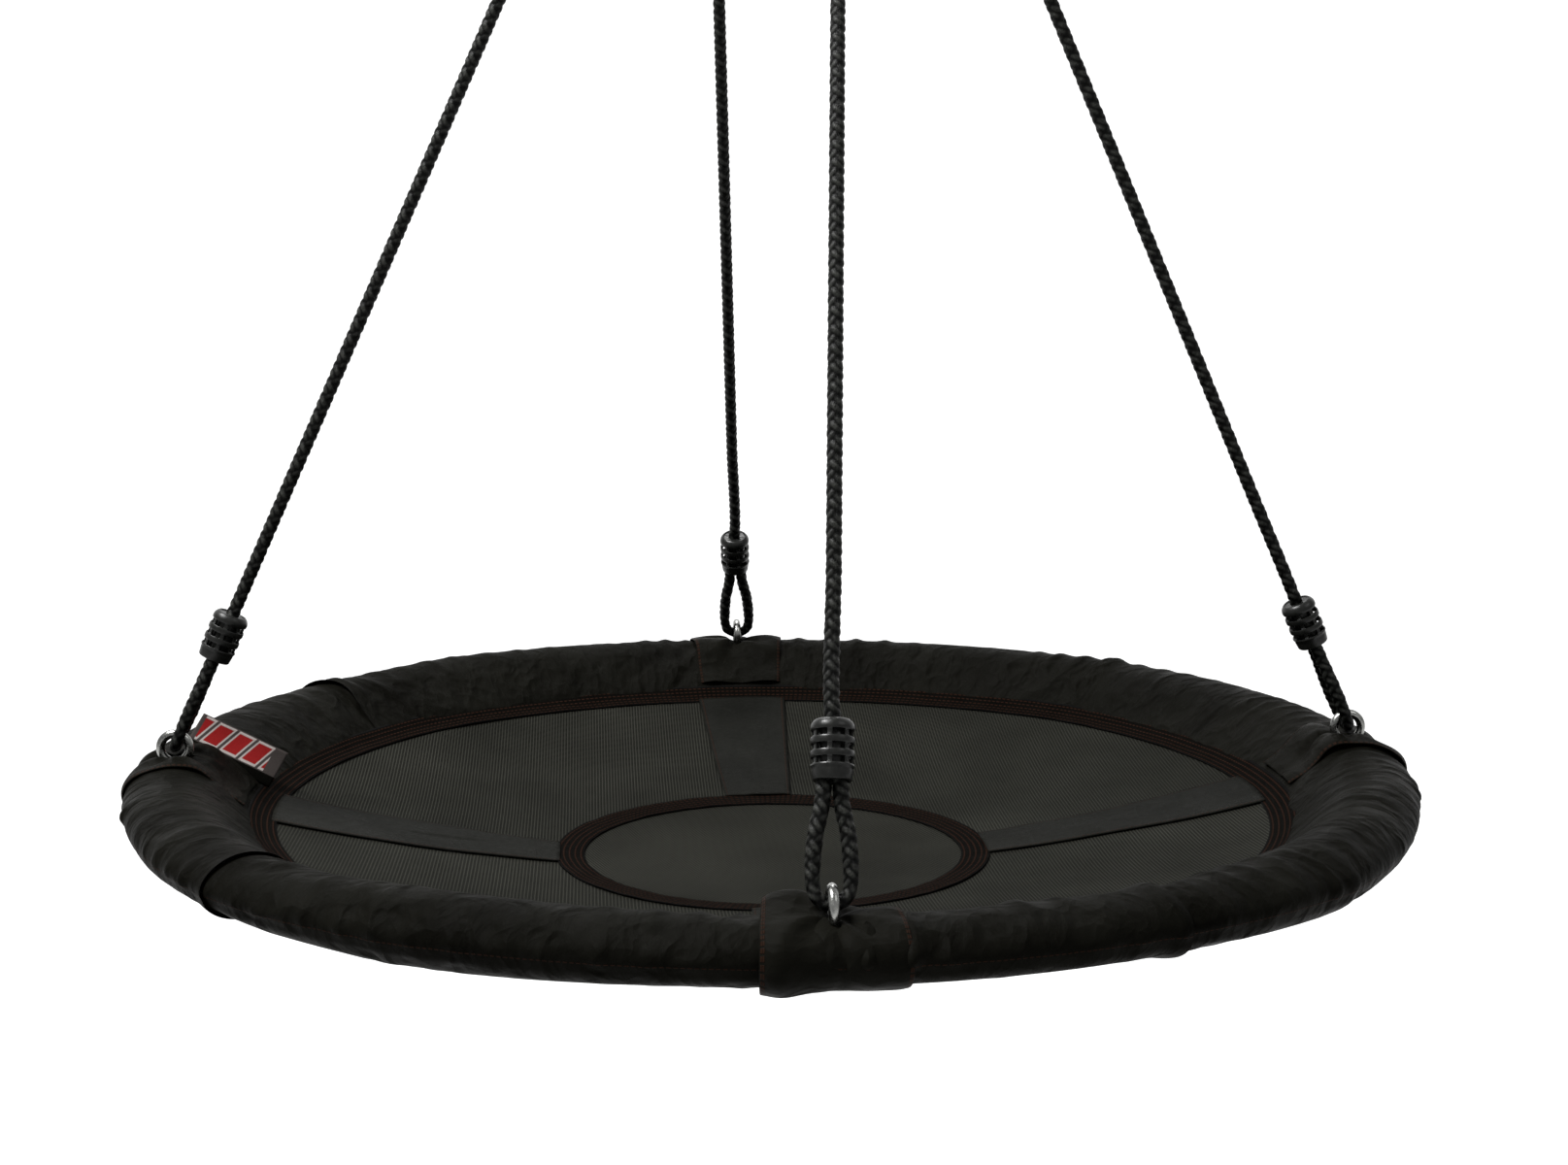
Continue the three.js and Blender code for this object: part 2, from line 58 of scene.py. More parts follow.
# Sizes of the frame, as the CAD states them
EYE_RADIUS = 0.512
JOINT_RADIUS = 0.523
EYE_RING = 0.01225
EYE_WIRE = 0.00375
RING_RADIUS = 0.029
RING_WIRE = 0.004
RIM_DROP = 0.030
OVAL_WIDTH = 0.037
OVAL_HEIGHT = 0.0233
DISH_BOTTOM = -0.1107
DISH_EDGE = 0.425
DISH_EDGE_HEIGHT = -0.057
CENTRE_TAPE = (0.165, 0.190)
OUTER_TAPE = (0.425, 0.449)
SEAM_RADIUS = 0.4363
ROPE_DIAMETER = 0.010
CLAMP_START = 0.0715
CLAMP_HEIGHT = 0.042
FREE_START = CLAMP_START + CLAMP_HEIGHT + 0.002
# Gaps between a rope and the wire that it hangs on
EYE_PLAY = 0.0020
RING_PLAY = 0.0009

EYE_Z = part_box("eye_bolt_right")[1][2] - EYE_RING - EYE_WIRE
ring_low, ring_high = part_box("hanging_ring_b")
RING_X = (ring_low[0] + ring_high[0]) / 2
RING_Z = (ring_low[2] + ring_high[2]) / 2


# ---------------------------------------------------------------- camera
CAMERA_AZIMUTH = math.radians(40.62)
CAMERA_DISTANCE = 2.0247
CAMERA_HEIGHT = -0.6163
CAMERA_DOWN = math.radians(8.92)
CAMERA_PAN = math.radians(0.276)

camera = bpy.data.objects.new("camera", bpy.data.cameras.new("camera"))
scene.collection.objects.link(camera)
camera.location = (CAMERA_DISTANCE * math.sin(CAMERA_AZIMUTH),
                   -CAMERA_DISTANCE * math.cos(CAMERA_AZIMUTH), CAMERA_HEIGHT)
camera.rotation_euler = (math.pi / 2 - CAMERA_DOWN, 0, CAMERA_AZIMUTH - CAMERA_PAN)
camera.data.sensor_width = 36
camera.data.lens = 54.56
camera.data.clip_start = 0.05
camera.data.clip_end = 60
scene.camera = camera


# ---------------------------------------------------------------- material tools
def connect(socket, value):
    """Links an input to another node's output, or sets its number, vector or colour."""
    if isinstance(value, bpy.types.NodeSocket):
        socket.id_data.links.new(value, socket)
    else:
        socket.default_value = (*value, 1) if socket.type == "RGBA" else value


def make(tree, kind, inputs=None, **settings):
    node = tree.nodes.new(kind)
    for key, value in settings.items():
        setattr(node, key, value)
    for socket, value in (inputs or {}).items():
        connect(node.inputs[socket], value)
    return node


def maths(operation, a, b=0.0):
    tree = (a if isinstance(a, bpy.types.NodeSocket) else b).id_data
    return make(tree, "ShaderNodeMath", {0: a, 1: b}, operation=operation).outputs[0]


def times(a, b):
    return maths("MULTIPLY", a, b)


def waves(value, length):
    """A sine that repeats once in that length."""
    return maths("SINE", times(value, 2 * math.pi / length))


def mix(share, a, b):
    return make(share.id_data, "ShaderNodeMix", {0: share, 6: a, 7: b},
                data_type="RGBA").outputs[2]


def spread(value, low, high, out_low, out_high):
    return make(value.id_data, "ShaderNodeMapRange", {
        "Value": value, "From Min": low, "From Max": high,
        "To Min": out_low, "To Max": out_high}).outputs[0]


def clouds(vector, scale, detail=3.0, roughness=0.55, distortion=0.0):
    return make(vector.id_data, "ShaderNodeTexNoise", {
        "Vector": vector, "Scale": scale, "Detail": detail, "Roughness": roughness,
        "Distortion": distortion}).outputs[0]


def patches(vector, scale, detail, low, high, out_low=0, out_high=1):
    """Noise whose range from low to high is spread over the output's range."""
    return spread(clouds(vector, scale, detail), low, high, out_low, out_high)


def cells(vector, scale):
    return make(vector.id_data, "ShaderNodeTexVoronoi",
                {"Vector": vector, "Scale": scale}).outputs[0]


def mapped(vector, scale, rotation=(0, 0, 0)):
    return make(vector.id_data, "ShaderNodeMapping",
                {"Vector": vector, "Rotation": rotation, "Scale": scale}).outputs[0]


def stitch_rows(across, along, rows, width=0.0006, pitch=0.0042):
    """1 on the threads of rows of stitches at those distances across, 0 elsewhere."""
    nearest = None
    for row in rows:
        far = maths("ABSOLUTE", maths("SUBTRACT", across, row))
        nearest = far if nearest is None else maths("MINIMUM", nearest, far)
    on_row = spread(nearest, width * 0.6, width * 1.3, 1, 0)
    return times(on_row, spread(waves(along, pitch), -0.75, -0.35, 0, 1))


class Look:
    """A material in the making, with bumps laid one over another."""

    def __init__(self, name, roughness, metallic=0.0, ior=1.45):
        self.material = bpy.data.materials.new(name)
        self.material.use_nodes = True
        self.tree = self.material.node_tree
        self.shader = self.tree.nodes["Principled BSDF"]
        self.normal = None
        self.set("Roughness", roughness)
        self.set("Metallic", metallic)
        self.set("IOR", ior)

    def set(self, socket, value):
        connect(self.shader.inputs[socket], value)

    def place(self):
        """The point's place in the CAD frame."""
        return make(self.tree, "ShaderNodeTexCoord").outputs["Object"]

    def flat(self):
        """The point on the piece laid flat, in metres: as a vector, along it and across it."""
        uv = make(self.tree, "ShaderNodeUVMap", uv_map="UVMap").outputs[0]
        parts = make(self.tree, "ShaderNodeSeparateXYZ", {0: uv})
        return uv, parts.outputs[0], parts.outputs[1]

    def bump(self, height, distance, strength):
        inputs = {"Height": height, "Distance": distance, "Strength": strength}
        if self.normal is not None:
            inputs["Normal"] = self.normal
        self.normal = make(self.tree, "ShaderNodeBump", inputs).outputs[0]
        self.set("Normal", self.normal)


# ---------------------------------------------------------------- materials
# Fabrics are set to reflect little: a loose weave has no clear mirror surface.
FABRIC_IOR = 1.045
NYLON_DARK = (0.0016, 0.0015, 0.0011)
NYLON_LIGHT = (0.0042, 0.0041, 0.0032)
NYLON_YARN = 0.0011
THREAD = (0.014, 0.0066, 0.0042)
TAPE_RIB = 0.0016
TAPE_THREAD = (0.016, 0.0072, 0.0046)
MESH_YARN = 0.0040
LABEL_BAR_PITCH = 0.0185
LABEL_END_MARGINS = (0.004, 0.012)


def nylon(name, rows, crease, shine=0.42, dark=NYLON_DARK, light=NYLON_LIGHT, row_width=0.0006):
    """Coated black nylon: plain weave, small creases, soft sheen and rows of dull red stitches."""
    look = Look(name, shine, ior=FABRIC_IOR)
    uv, along, across = look.flat()
    place = look.place()
    colour = mix(patches(place, 9, 4, 0.35, 0.65), dark, light)
    colour = mix(patches(place, 900, 2, 0.3, 0.75, 0, 0.45), colour, light)
    look.set("Roughness", patches(place, 30, 4, 0.3, 0.7, shine - 0.07, shine + 0.12))
    stretched = mapped(uv, (1.7, 0.9, 1))
    look.bump(clouds(stretched, 26, 5, 0.62, 1.1), crease * 3, 0.5)
    # The crumples are cells whose places are shifted by noise, so that their edges wander
    shift = make(look.tree, "ShaderNodeTexNoise", {"Vector": place, "Scale": 26.0, "Detail": 2.0})
    shift = make(look.tree, "ShaderNodeVectorMath", {0: shift.outputs[1], "Scale": 0.05},
                 operation="SCALE").outputs[0]
    shifted = make(look.tree, "ShaderNodeVectorMath", {0: stretched, 1: shift}).outputs[0]
    crumples = maths("ADD", cells(shifted, 24.0), times(cells(shifted, 61.0), 0.35))
    look.bump(crumples, crease * 6, 0.85)
    look.bump(times(waves(along, NYLON_YARN), waves(across, NYLON_YARN)), 0.00012, 0.5)
    stitches = stitch_rows(across, along, rows, row_width)
    look.bump(stitches, 0.0006, 0.8)
    look.set("Base Color", mix(times(stitches, 0.8), colour, THREAD))
    return look.material


def binding_tape(name, rows, width):
    """Brown-black woven tape with rows of dull red stitching and darker edges."""
    look = Look(name, 0.72, ior=FABRIC_IOR)
    _, along, across = look.flat()
    ribs = waves(maths("ADD", along, times(across, 0.7)), TAPE_RIB)
    colour = mix(patches(look.place(), 60, 4, 0.3, 0.7),
                 (0.0010, 0.0009, 0.0007), (0.0021, 0.0018, 0.0014))
    colour = mix(spread(ribs, -1, 1, 0, 0.5), colour, (0.0009, 0.0008, 0.0006))
    stitches = stitch_rows(across, along, rows, 0.00075, 0.0048)
    colour = mix(times(stitches, 0.85), colour, TAPE_THREAD)
    edge = maths("MINIMUM", across, maths("SUBTRACT", width, across))
    colour = mix(spread(edge, 0.0006, 0.0014, 0.85, 0), colour, (0.003, 0.003, 0.003))
    look.set("Base Color", colour)
    look.bump(ribs, 0.0003, 0.6)
    look.bump(stitches, 0.0008, 0.9)
    return look.material


def open_mesh(name):
    """Woven grey-green textilene: two crossing sets of coated yarns, painted dark shade in the
    gaps between.
    """
    look = Look(name, 0.55, ior=FABRIC_IOR)
    _, along, across = look.flat()
    place = look.place()
    warp = waves(maths("ADD", along, across), MESH_YARN)
    weft = waves(maths("SUBTRACT", along, across), MESH_YARN)
    twill = maths("MAXIMUM", warp, times(weft, 0.85))
    yarns = mix(patches(place, 7, 3, 0.3, 0.7), (0.0120, 0.0121, 0.0098),
                (0.0200, 0.0202, 0.0165))
    # Painted shade: the gaps between the yarns are coloured near black
    gap_shade = spread(twill, 0.1, 0.85, 1, 0)
    look.set("Base Color", mix(gap_shade, yarns, (0.0003, 0.0003, 0.0003)))
    look.bump(clouds(place, 14), 0.004, 0.35)
    look.bump(twill, 0.0004, 0.7)
    return look.material


def rope_yarn(name):
    """Black polypropylene: fine glossy fibres along each strand, painted shade between the
    strands.
    """
    look = Look(name, 0.42, ior=1.16)
    uv, _, _ = look.flat()
    strands = clouds(mapped(uv, (260, 2600, 1), (0, 0, 0.6)), 1.0, 2)
    colour = mix(spread(strands, 0.3, 0.7, 0, 1), (0.0045, 0.0048, 0.0040),
                 (0.0170, 0.0176, 0.0158))
    worn = patches(look.place(), 500, 3, 0.4, 0.7, 0, 0.6)
    colour = mix(worn, colour, (0.042, 0.043, 0.039))
    crown = make(look.tree, "ShaderNodeAttribute", attribute_name="crown").outputs["Fac"]
    # Painted shade: where the crown is low, in the grooves between the strands, the colour goes
    # near black
    colour = mix(spread(crown, 0.55, 0.95, 1, 0), colour, (0.0008, 0.0009, 0.0007))
    look.set("Base Color", colour)
    look.set("Roughness", spread(strands, 0.3, 0.7, 0.30, 0.55))
    look.bump(strands, 0.0004, 0.7)
    return look.material


def moulded_plastic(name):
    """Black satin plastic with faint flow marks."""
    look = Look(name, 0.32, ior=1.3)
    place = look.place()
    look.set("Base Color", mix(patches(place, 120, 5, 0.3, 0.75), (0.0032, 0.0034, 0.0030),
                               (0.0080, 0.0083, 0.0075)))
    look.set("Roughness", patches(place, 260, 4, 0.3, 0.7, 0.25, 0.45))
    look.bump(clouds(place, 700), 0.0002, 0.5)
    return look.material


def bright_zinc(name, base=(0.36, 0.362, 0.345), shadow=(0.17, 0.175, 0.168), rough=0.2,
                grain=1.0):
    """Zinc plated steel: bright, with a faint clouded grain and fine scratches."""
    look = Look(name, rough, metallic=1.0)
    place = look.place()
    look.set("Base Color", mix(patches(place, 160, 5, 0.35, 0.7), base, shadow))
    look.set("Roughness", patches(place, 420, 4, 0.3, 0.7, rough - 0.06, rough + 0.16))
    look.bump(clouds(mapped(place, (200, 200, 3000)), 1.0), 0.00008 * grain, 0.5)
    return look.material


def plain_foam(name):
    look = Look(name, 0.9)
    pores = cells(look.place(), 700)
    look.set("Base Color", mix(pores, (0.020, 0.020, 0.022), (0.045, 0.045, 0.048)))
    look.bump(pores, 0.0004, 0.6)
    return look.material


def striped_label(name, length, width):
    """A woven label with plain slanted bars, red edged with white, on a dark grey ground."""
    look = Look(name, 0.55, ior=FABRIC_IOR)
    uv, along, across = look.flat()
    slant = maths("ADD", maths("ADD", along, times(across, -0.35)), 0.4)
    step = maths("FRACT", maths("DIVIDE", slant, LABEL_BAR_PITCH))
    from_middle = maths("ABSOLUTE", maths("SUBTRACT", step, 0.5))
    from_centre = maths("ABSOLUTE", maths("SUBTRACT", across, width / 2))
    first, last = LABEL_END_MARGINS
    in_length = times(maths("GREATER_THAN", along, first),
                      maths("LESS_THAN", along, length - last))

    def bars(half_bar, half_height):
        return times(times(maths("LESS_THAN", from_middle, half_bar),
                           maths("LESS_THAN", from_centre, half_height)), in_length)

    ground = mix(clouds(uv, 700, 2), (0.0260, 0.0225, 0.0212), (0.0400, 0.0340, 0.0320))
    colour = mix(bars(0.43, width * 0.46), ground, (0.24, 0.215, 0.205))
    colour = mix(bars(0.34, width * 0.375), colour, (0.150, 0.0090, 0.0090))
    look.set("Base Color", mix(maths("LESS_THAN", across, 0.0), colour, NYLON_DARK))
    look.bump(times(waves(across, 0.0007), waves(along, 0.0009)), 0.00015, 0.6)
    return look.material


# ---------------------------------------------------------------- mesh tools
def shade_smooth(mesh):
    mesh.polygons.foreach_set("use_smooth", [True] * len(mesh.polygons))


def add_piece(name, points, faces, material, uvs=None):
    """A new object. uvs has one pair for each point: its place on the piece laid flat."""
    mesh = bpy.data.meshes.new(name)
    mesh.from_pydata([tuple(p) for p in points], [], [tuple(f) for f in faces])
    if uvs is None:
        uvs = np.zeros((len(points), 2))
    layer = mesh.uv_layers.new(name="UVMap")
    corners = np.empty(len(mesh.loops), dtype=np.int32)
    mesh.loops.foreach_get("vertex_index", corners)
    layer.data.foreach_set("uv", np.asarray(uvs)[corners].astype(np.float32).ravel())
    shade_smooth(mesh)
    mesh.materials.append(material)
    mesh.update()
    piece = bpy.data.objects.new(name, mesh)
    scene.collection.objects.link(piece)
    return piece


def grid(points, close_u=False, close_v=False, flip=False):
    """Quads over rows of points. u closes the last row to the first, v closes each row."""
    rows, columns = points.shape[:2]
    faces = []
    for i in range(rows if close_u else rows - 1):
        for j in range(columns if close_v else columns - 1):
            here, there, beside = i * columns, (i + 1) % rows * columns, (j + 1) % columns
            a, b, c, d = here + j, here + beside, there + beside, there + j
            faces.append((a, d, c, b) if flip else (a, b, c, d))
    return points.reshape(-1, 3), faces


def distance_along(line):
    steps = np.linalg.norm(np.diff(line, axis=0), axis=1)
    return np.concatenate([[0], np.cumsum(steps)])


def grid_uvs(points):
    """Mean distance along the grid and across it, in metres, for each of its points."""
    along = np.zeros(points.shape[:2])
    across = np.zeros(points.shape[:2])
    steps_along = np.linalg.norm(np.diff(points, axis=0), axis=2).mean(axis=1)
    steps_across = np.linalg.norm(np.diff(points, axis=1), axis=2).mean(axis=0)
    along[1:] = np.cumsum(steps_along)[:, None]
    across[:, 1:] = np.cumsum(steps_across)[None, :]
    return np.stack([along, across], axis=2).reshape(-1, 2)


def edit_mesh(piece, edit):
    """Calls edit on the piece's surface as a bmesh, and keeps the result."""
    form = bmesh.new()
    form.from_mesh(piece.data)
    edit(form)
    form.to_mesh(piece.data)
    form.free()


def grid_piece(name, points, material, closed=False, flip=False):
    """A grid as a piece. Where it closes into a ring, the flat coordinates run past the join."""
    if closed:
        points = np.concatenate([points, points[:1]])
    vertices, faces = grid(points, flip=flip)
    piece = add_piece(name, vertices, faces, material, grid_uvs(points))
    if closed:
        edit_mesh(piece, lambda form: bmesh.ops.remove_doubles(form, verts=form.verts,
                                                               dist=1e-6))
        shade_smooth(piece.data)
    return piece


def apply_modifier(piece, kind, **settings):
    modifier = piece.modifiers.new(kind.lower(), kind)
    for key, value in settings.items():
        setattr(modifier, key, value)
    graph = bpy.context.evaluated_depsgraph_get()
    graph.update()
    mesh = bpy.data.meshes.new_from_object(piece.evaluated_get(graph), depsgraph=graph)
    piece.modifiers.clear()
    old = piece.data
    piece.data = mesh
    mesh.name = piece.name
    bpy.data.meshes.remove(old)


def thicken(piece, thickness, offset=-1.0):
    apply_modifier(piece, "SOLIDIFY", thickness=thickness, offset=offset)


def subdivide(piece):
    apply_modifier(piece, "SUBSURF", levels=1, render_levels=1)


def smooth_line(points, step):
    """A centripetal Catmull-Rom curve through the points, sampled at about that step."""
    points = np.asarray(points, float)
    ends = [2 * points[0] - points[1]], [2 * points[-1] - points[-2]]
    knots = np.concatenate([ends[0], points, ends[1]])
    line = []
    for i in range(1, len(knots) - 2):
        p0, p1, p2, p3 = knots[i - 1:i + 3]
        t1 = np.linalg.norm(p1 - p0) ** 0.5
        t2 = t1 + np.linalg.norm(p2 - p1) ** 0.5
        t3 = t2 + np.linalg.norm(p3 - p2) ** 0.5
        count = max(2, int(round(np.linalg.norm(p2 - p1) / step)))
        for k in range(count):
            t = t1 + (t2 - t1) * k / count
            a1 = (t1 - t) / t1 * p0 + t / t1 * p1
            a2 = (t2 - t) / (t2 - t1) * p1 + (t - t1) / (t2 - t1) * p2
            a3 = (t3 - t) / (t3 - t2) * p2 + (t - t2) / (t3 - t2) * p3
            b1 = (t2 - t) / t2 * a1 + t / t2 * a2
            b2 = (t3 - t) / (t3 - t1) * a2 + (t - t1) / (t3 - t1) * a3
            line.append((t2 - t) / (t2 - t1) * b1 + (t - t1) / (t2 - t1) * b2)
    line.append(points[-1])
    return np.array(line)


def frames_along(line, first, closed=False):
    """Two unit side directions at each point, carried along without twist."""
    ahead = np.roll(line, -1, axis=0) - np.roll(line, 1, axis=0)
    if not closed:
        ahead[0], ahead[-1] = line[1] - line[0], line[-1] - line[-2]
    ahead /= np.linalg.norm(ahead, axis=1)[:, None]
    side = np.empty_like(line)
    current = np.asarray(first, float)
    for i, direction in enumerate(ahead):
        current = current - direction * current.dot(direction)
        current /= np.linalg.norm(current)
        side[i] = current
    return side, np.cross(ahead, side)


def full_turn(count):
    return np.linspace(0, 2 * math.pi, count, endpoint=False)


def tube_points(line, radius, sides, first, closed=False):
    """Rings of points round a line. radius is a number, or an array with a row for each ring."""
    side, up = frames_along(line, first, closed)
    turn = full_turn(sides)
    reach = np.broadcast_to(radius, (len(line), sides))
    return (line[:, None] + side[:, None] * (np.cos(turn) * reach)[:, :, None]
            + up[:, None] * (np.sin(turn) * reach)[:, :, None])


def capped(faces, rings, sides):
    """A tube's faces with both its ends closed."""
    first = tuple(range(sides))
    last = tuple((rings - 1) * sides + i for i in reversed(range(sides)))
    return list(faces) + [first, last]


class Shape:
    """Several closed surfaces gathered into one piece."""

    def __init__(self):
        self.points, self.faces = [], []

    def add(self, points, faces):
        start = len(self.points)
        self.points.extend(tuple(p) for p in points)
        self.faces.extend(tuple(i + start for i in face) for face in faces)

    def tube(self, line, radius, sides, first, closed=False):
        rings = tube_points(line, radius, sides, first, closed)
        points, faces = grid(rings, close_u=closed, close_v=True)
        self.add(points, faces if closed else capped(faces, len(line), sides))

    def lathe(self, profile, origin, axis, sides=32):
        """A profile of [radius, height] turned round an axis. It starts and ends on the axis."""
        axis = Vector(axis).normalized()
        side = axis.orthogonal().normalized()
        other = axis.cross(side)
        rings = np.array([[np.array(origin) + np.array(axis) * h + r * (
            np.array(side) * math.cos(t) + np.array(other) * math.sin(t))
            for t in full_turn(sides)] for r, h in profile])
        points, faces = grid(rings, close_v=True)
        self.add(points, capped(faces, len(profile), sides))

    def piece(self, name, material):
        return add_piece(name, self.points, self.faces, material)


def finish_piece(piece, body, node):
    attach(piece, body)
    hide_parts(node)


# ---------------------------------------------------------------- the rim's shape
corner_x = JOINT_RADIUS * math.sqrt(0.5)
arc_shift = (2 * corner_x ** 2 - EYE_RADIUS ** 2) / (2 * (EYE_RADIUS - corner_x))
arc_radius = EYE_RADIUS + arc_shift


def turn_of(corner):
    return math.radians(CORNERS[corner])


def rim_radius(angle):
    """The rim's centre line: four arcs that meet at the tube joints. Angle from an eye."""
    from_eye = angle - QUARTER * np.round(angle / QUARTER)
    return np.sqrt(arc_radius ** 2 - (arc_shift * np.sin(from_eye)) ** 2) \
        - arc_shift * np.cos(from_eye)


def on_rim(radius, angles, height, turn):
    """Points in the CAD frame from a distance from the axis, an angle from an eye and a height.

    The distance is stated at an eye. Elsewhere it follows the rim, less and less further in.
    """
    share = np.clip((radius - CENTRE_TAPE[1]) / (OUTER_TAPE[0] - CENTRE_TAPE[1]), 0, 1)
    radius = radius + share * (rim_radius(angles) - EYE_RADIUS)
    world = angles + turn
    return np.stack([radius * np.cos(world), radius * np.sin(world), height + EYE_Z], axis=-1)


def placed(section, angles, turn):
    """A section of [distance from the axis, height over the eyes], or one for each angle."""
    section = np.asarray(section, float)
    if section.ndim == 2:
        section = np.broadcast_to(section, (len(angles), *section.shape))
    return on_rim(section[..., 0], np.asarray(angles)[:, None], section[..., 1], turn)


def dish(radius):
    return DISH_BOTTOM + (DISH_EDGE_HEIGHT - DISH_BOTTOM) * (np.asarray(radius) / DISH_EDGE) ** 2


def oval_point(degrees, grow=0.0):
    turn = np.radians(degrees)
    return np.stack([EYE_RADIUS + (OVAL_WIDTH + grow) * np.cos(turn),
                     -RIM_DROP + (OVAL_HEIGHT + grow) * np.sin(turn)], axis=-1)


def resampled(path, step):
    """The same path with points an even step apart."""
    path = np.asarray(path, float)
    reach = distance_along(path)
    at = np.linspace(0, reach[-1], max(2, int(round(reach[-1] / step)) + 1))
    return np.stack([np.interp(at, reach, path[:, k]) for k in range(path.shape[1])], axis=1)


def lifted(path, distance):
    """The path moved off its surface, to the left of its direction."""
    ahead = np.gradient(path, axis=0)
    ahead /= np.linalg.norm(ahead, axis=1)[:, None]
    return path + np.stack([-ahead[:, 1], ahead[:, 0]], axis=1) * np.asarray(distance)[..., None]


SEAM = (SEAM_RADIUS, float(dish(SEAM_RADIUS)))
SKIRT_TOP_ANGLE = 150
SKIRT_SAG = 0.0022
skirt_top = oval_point(SKIRT_TOP_ANGLE)


def skirt_height(radius):
    share = np.clip((radius - SEAM[0]) / (skirt_top[0] - SEAM[0]), 0, 1)
    return SEAM[1] + (skirt_top[1] - SEAM[1]) * share - 4 * SKIRT_SAG * share * (1 - share)


def skirt_path(start, shrink=0.0):
    """The inner slope from a distance from the axis up to where it meets the oval."""
    radii = np.linspace(start, skirt_top[0], 12)[:-1]
    return np.stack([radii, skirt_height(radii) - shrink], axis=1)


def wobble(*at):
    """Smooth, repeatable noise from -1 to 1."""
    return noise.noise(Vector(at if len(at) == 3 else (*at, 0.0)))


def hump(offset, width, power=2):
    """1 where the offset is 0, and towards 0 beyond the width."""
    return math.exp(-(offset / width) ** power)


# ---------------------------------------------------------------- ropes
BIGHT_RADIUS = 0.0125
LOOP_LEG = [(0.034, 0.0112), (0.055, 0.0069), (CLAMP_START, 0.0055),
            (CLAMP_START + 0.024, 0.0053)]
RUN_PARTS = 8
ROPE_SIDES = 28
ROPE_STEP = 0.0011
BRAID_PITCH = 0.0285
# A rope is pressed thinner where it turns round the steel
SQUEEZE = 0.16
SQUEEZE_REACH = 0.017
UP = np.array([0, 0, 1.0])
ACROSS_PAIR = np.array([0, 1.0, 0])
ALONG_PLATE = np.array([1.0, 0, 0])


def loop_route(wire, play):
    """A loop round a wire, in metres: [distance from the wire, sideways].

    It runs from the tail round the bight and back to where both strands leave the clamp as one.
    """
    centre = BIGHT_RADIUS - (wire + play + ROPE_DIAMETER / 2)
    bight = [(centre + BIGHT_RADIUS * math.sin(a), BIGHT_RADIUS * math.cos(a))
             for a in (math.radians(d) for d in range(180, 361, 36))]
    tail = [(reach, -side) for reach, side in reversed(LOOP_LEG)]
    return tail + bight + LOOP_LEG + [(FREE_START, 0)]


def unit(vector):
    return vector / np.linalg.norm(vector)


def rope_frame(turn, side):
    """A rope's lower bight, direction and length, and the side directions of its two loops."""
    eye = np.array([EYE_RADIUS * math.cos(turn), EYE_RADIUS * math.sin(turn), EYE_Z])
    ring = np.array([side * RING_X, 0, RING_Z])
    tilt = math.atan2(eye[1], ring[2] - eye[2])
    top = ring + [0, RING_RADIUS * math.sin(tilt), -RING_RADIUS * math.cos(tilt)]
    along = np.array([-math.sin(turn), math.cos(turn), 0])
    pull = top - eye
    bottom = eye + EYE_RING * unit(pull - along * pull.dot(along))
    axis = unit(top - bottom)
    lower_side = unit(along - axis * along.dot(axis))
    upper_side = unit(ALONG_PLATE - axis * axis[0])
    return bottom, axis, np.linalg.norm(top - bottom), lower_side, upper_side


def rope_route(bottom, axis, length, lower_side, upper_side):
    def at(reach, sideways, direction):
        return bottom + axis * reach + direction * sideways

    lower = [at(r, s, lower_side) for r, s in loop_route(EYE_WIRE, EYE_PLAY)]
    upper = [at(length - r, s, upper_side) for r, s in loop_route(RING_WIRE, RING_PLAY)][::-1]
    run = [at(FREE_START + (length - 2 * FREE_START) * i / RUN_PARTS, 0, lower_side)
           for i in range(1, RUN_PARTS)]
    return lower + run + upper


def braid(sides, along):
    """Height from 0 to 1 of a rope plaited from two pairs of strands each way."""
    turn = full_turn(sides)[None, :]
    climb = 2 * math.pi * along[:, None] / BRAID_PITCH
    left = 2 * (turn + climb) / (2 * math.pi)
    right = 2 * (turn - climb) / (2 * math.pi)

    def twin_crown(place):
        from_strand = (np.abs(place - np.round(place)) - 0.25) / 0.25
        return np.sqrt(np.clip(1 - 0.94 * from_strand ** 2, 0, 1))

    over = np.cos(math.pi * (right + np.round(left)))
    under = -np.cos(math.pi * (left + np.round(right)))
    return np.clip(np.maximum(twin_crown(left) * (0.60 + 0.40 * over),
                              twin_crown(right) * (0.52 + 0.34 * under)), 0, 1)


def make_rope(name, route, bights):
    line = smooth_line(route, ROPE_STEP)
    along = distance_along(line)
    crown = braid(ROPE_SIDES, along)
    near = np.min([np.linalg.norm(line - bight, axis=1) for bight in bights], axis=0)
    pressed = 1 - SQUEEZE * np.exp(-(near / SQUEEZE_REACH) ** 4)
    radius = ROPE_DIAMETER / 2 * (0.84 + 0.38 * crown) * pressed[:, None]
    first = unit(np.cross(line[1] - line[0], [0.3, 0.5, 0.8]))
    points, faces = grid(tube_points(line, radius, ROPE_SIDES, first), close_v=True, flip=True)
    turn = np.linspace(0, math.pi * ROPE_DIAMETER, ROPE_SIDES, endpoint=False)
    uvs = np.stack([np.repeat(along, ROPE_SIDES), np.tile(turn, len(line))], axis=1)
    piece = add_piece(name, points, capped(faces, len(line), ROPE_SIDES), rope_material, uvs)
    heights = piece.data.attributes.new("crown", "FLOAT", "POINT")
    heights.data.foreach_set("value", crown.ravel().astype(np.float32))
    return piece, line, along[-1]


CLAMP_WINDOWS = 7
CLAMP_ROWS = ((0.0110, 0.0156), (0.0203, 0.0249), (0.0296, 0.0342))
CLAMP_WALL = 0.0022
CLAMP_RIB = 0.0151
CLAMP_CORE = 0.0104
CLAMP_END = 0.0122
CLAMP_END_THICKNESS = 0.0008
BAR_DEPTH = 0.0012
BAR_BLEND = 0.0009
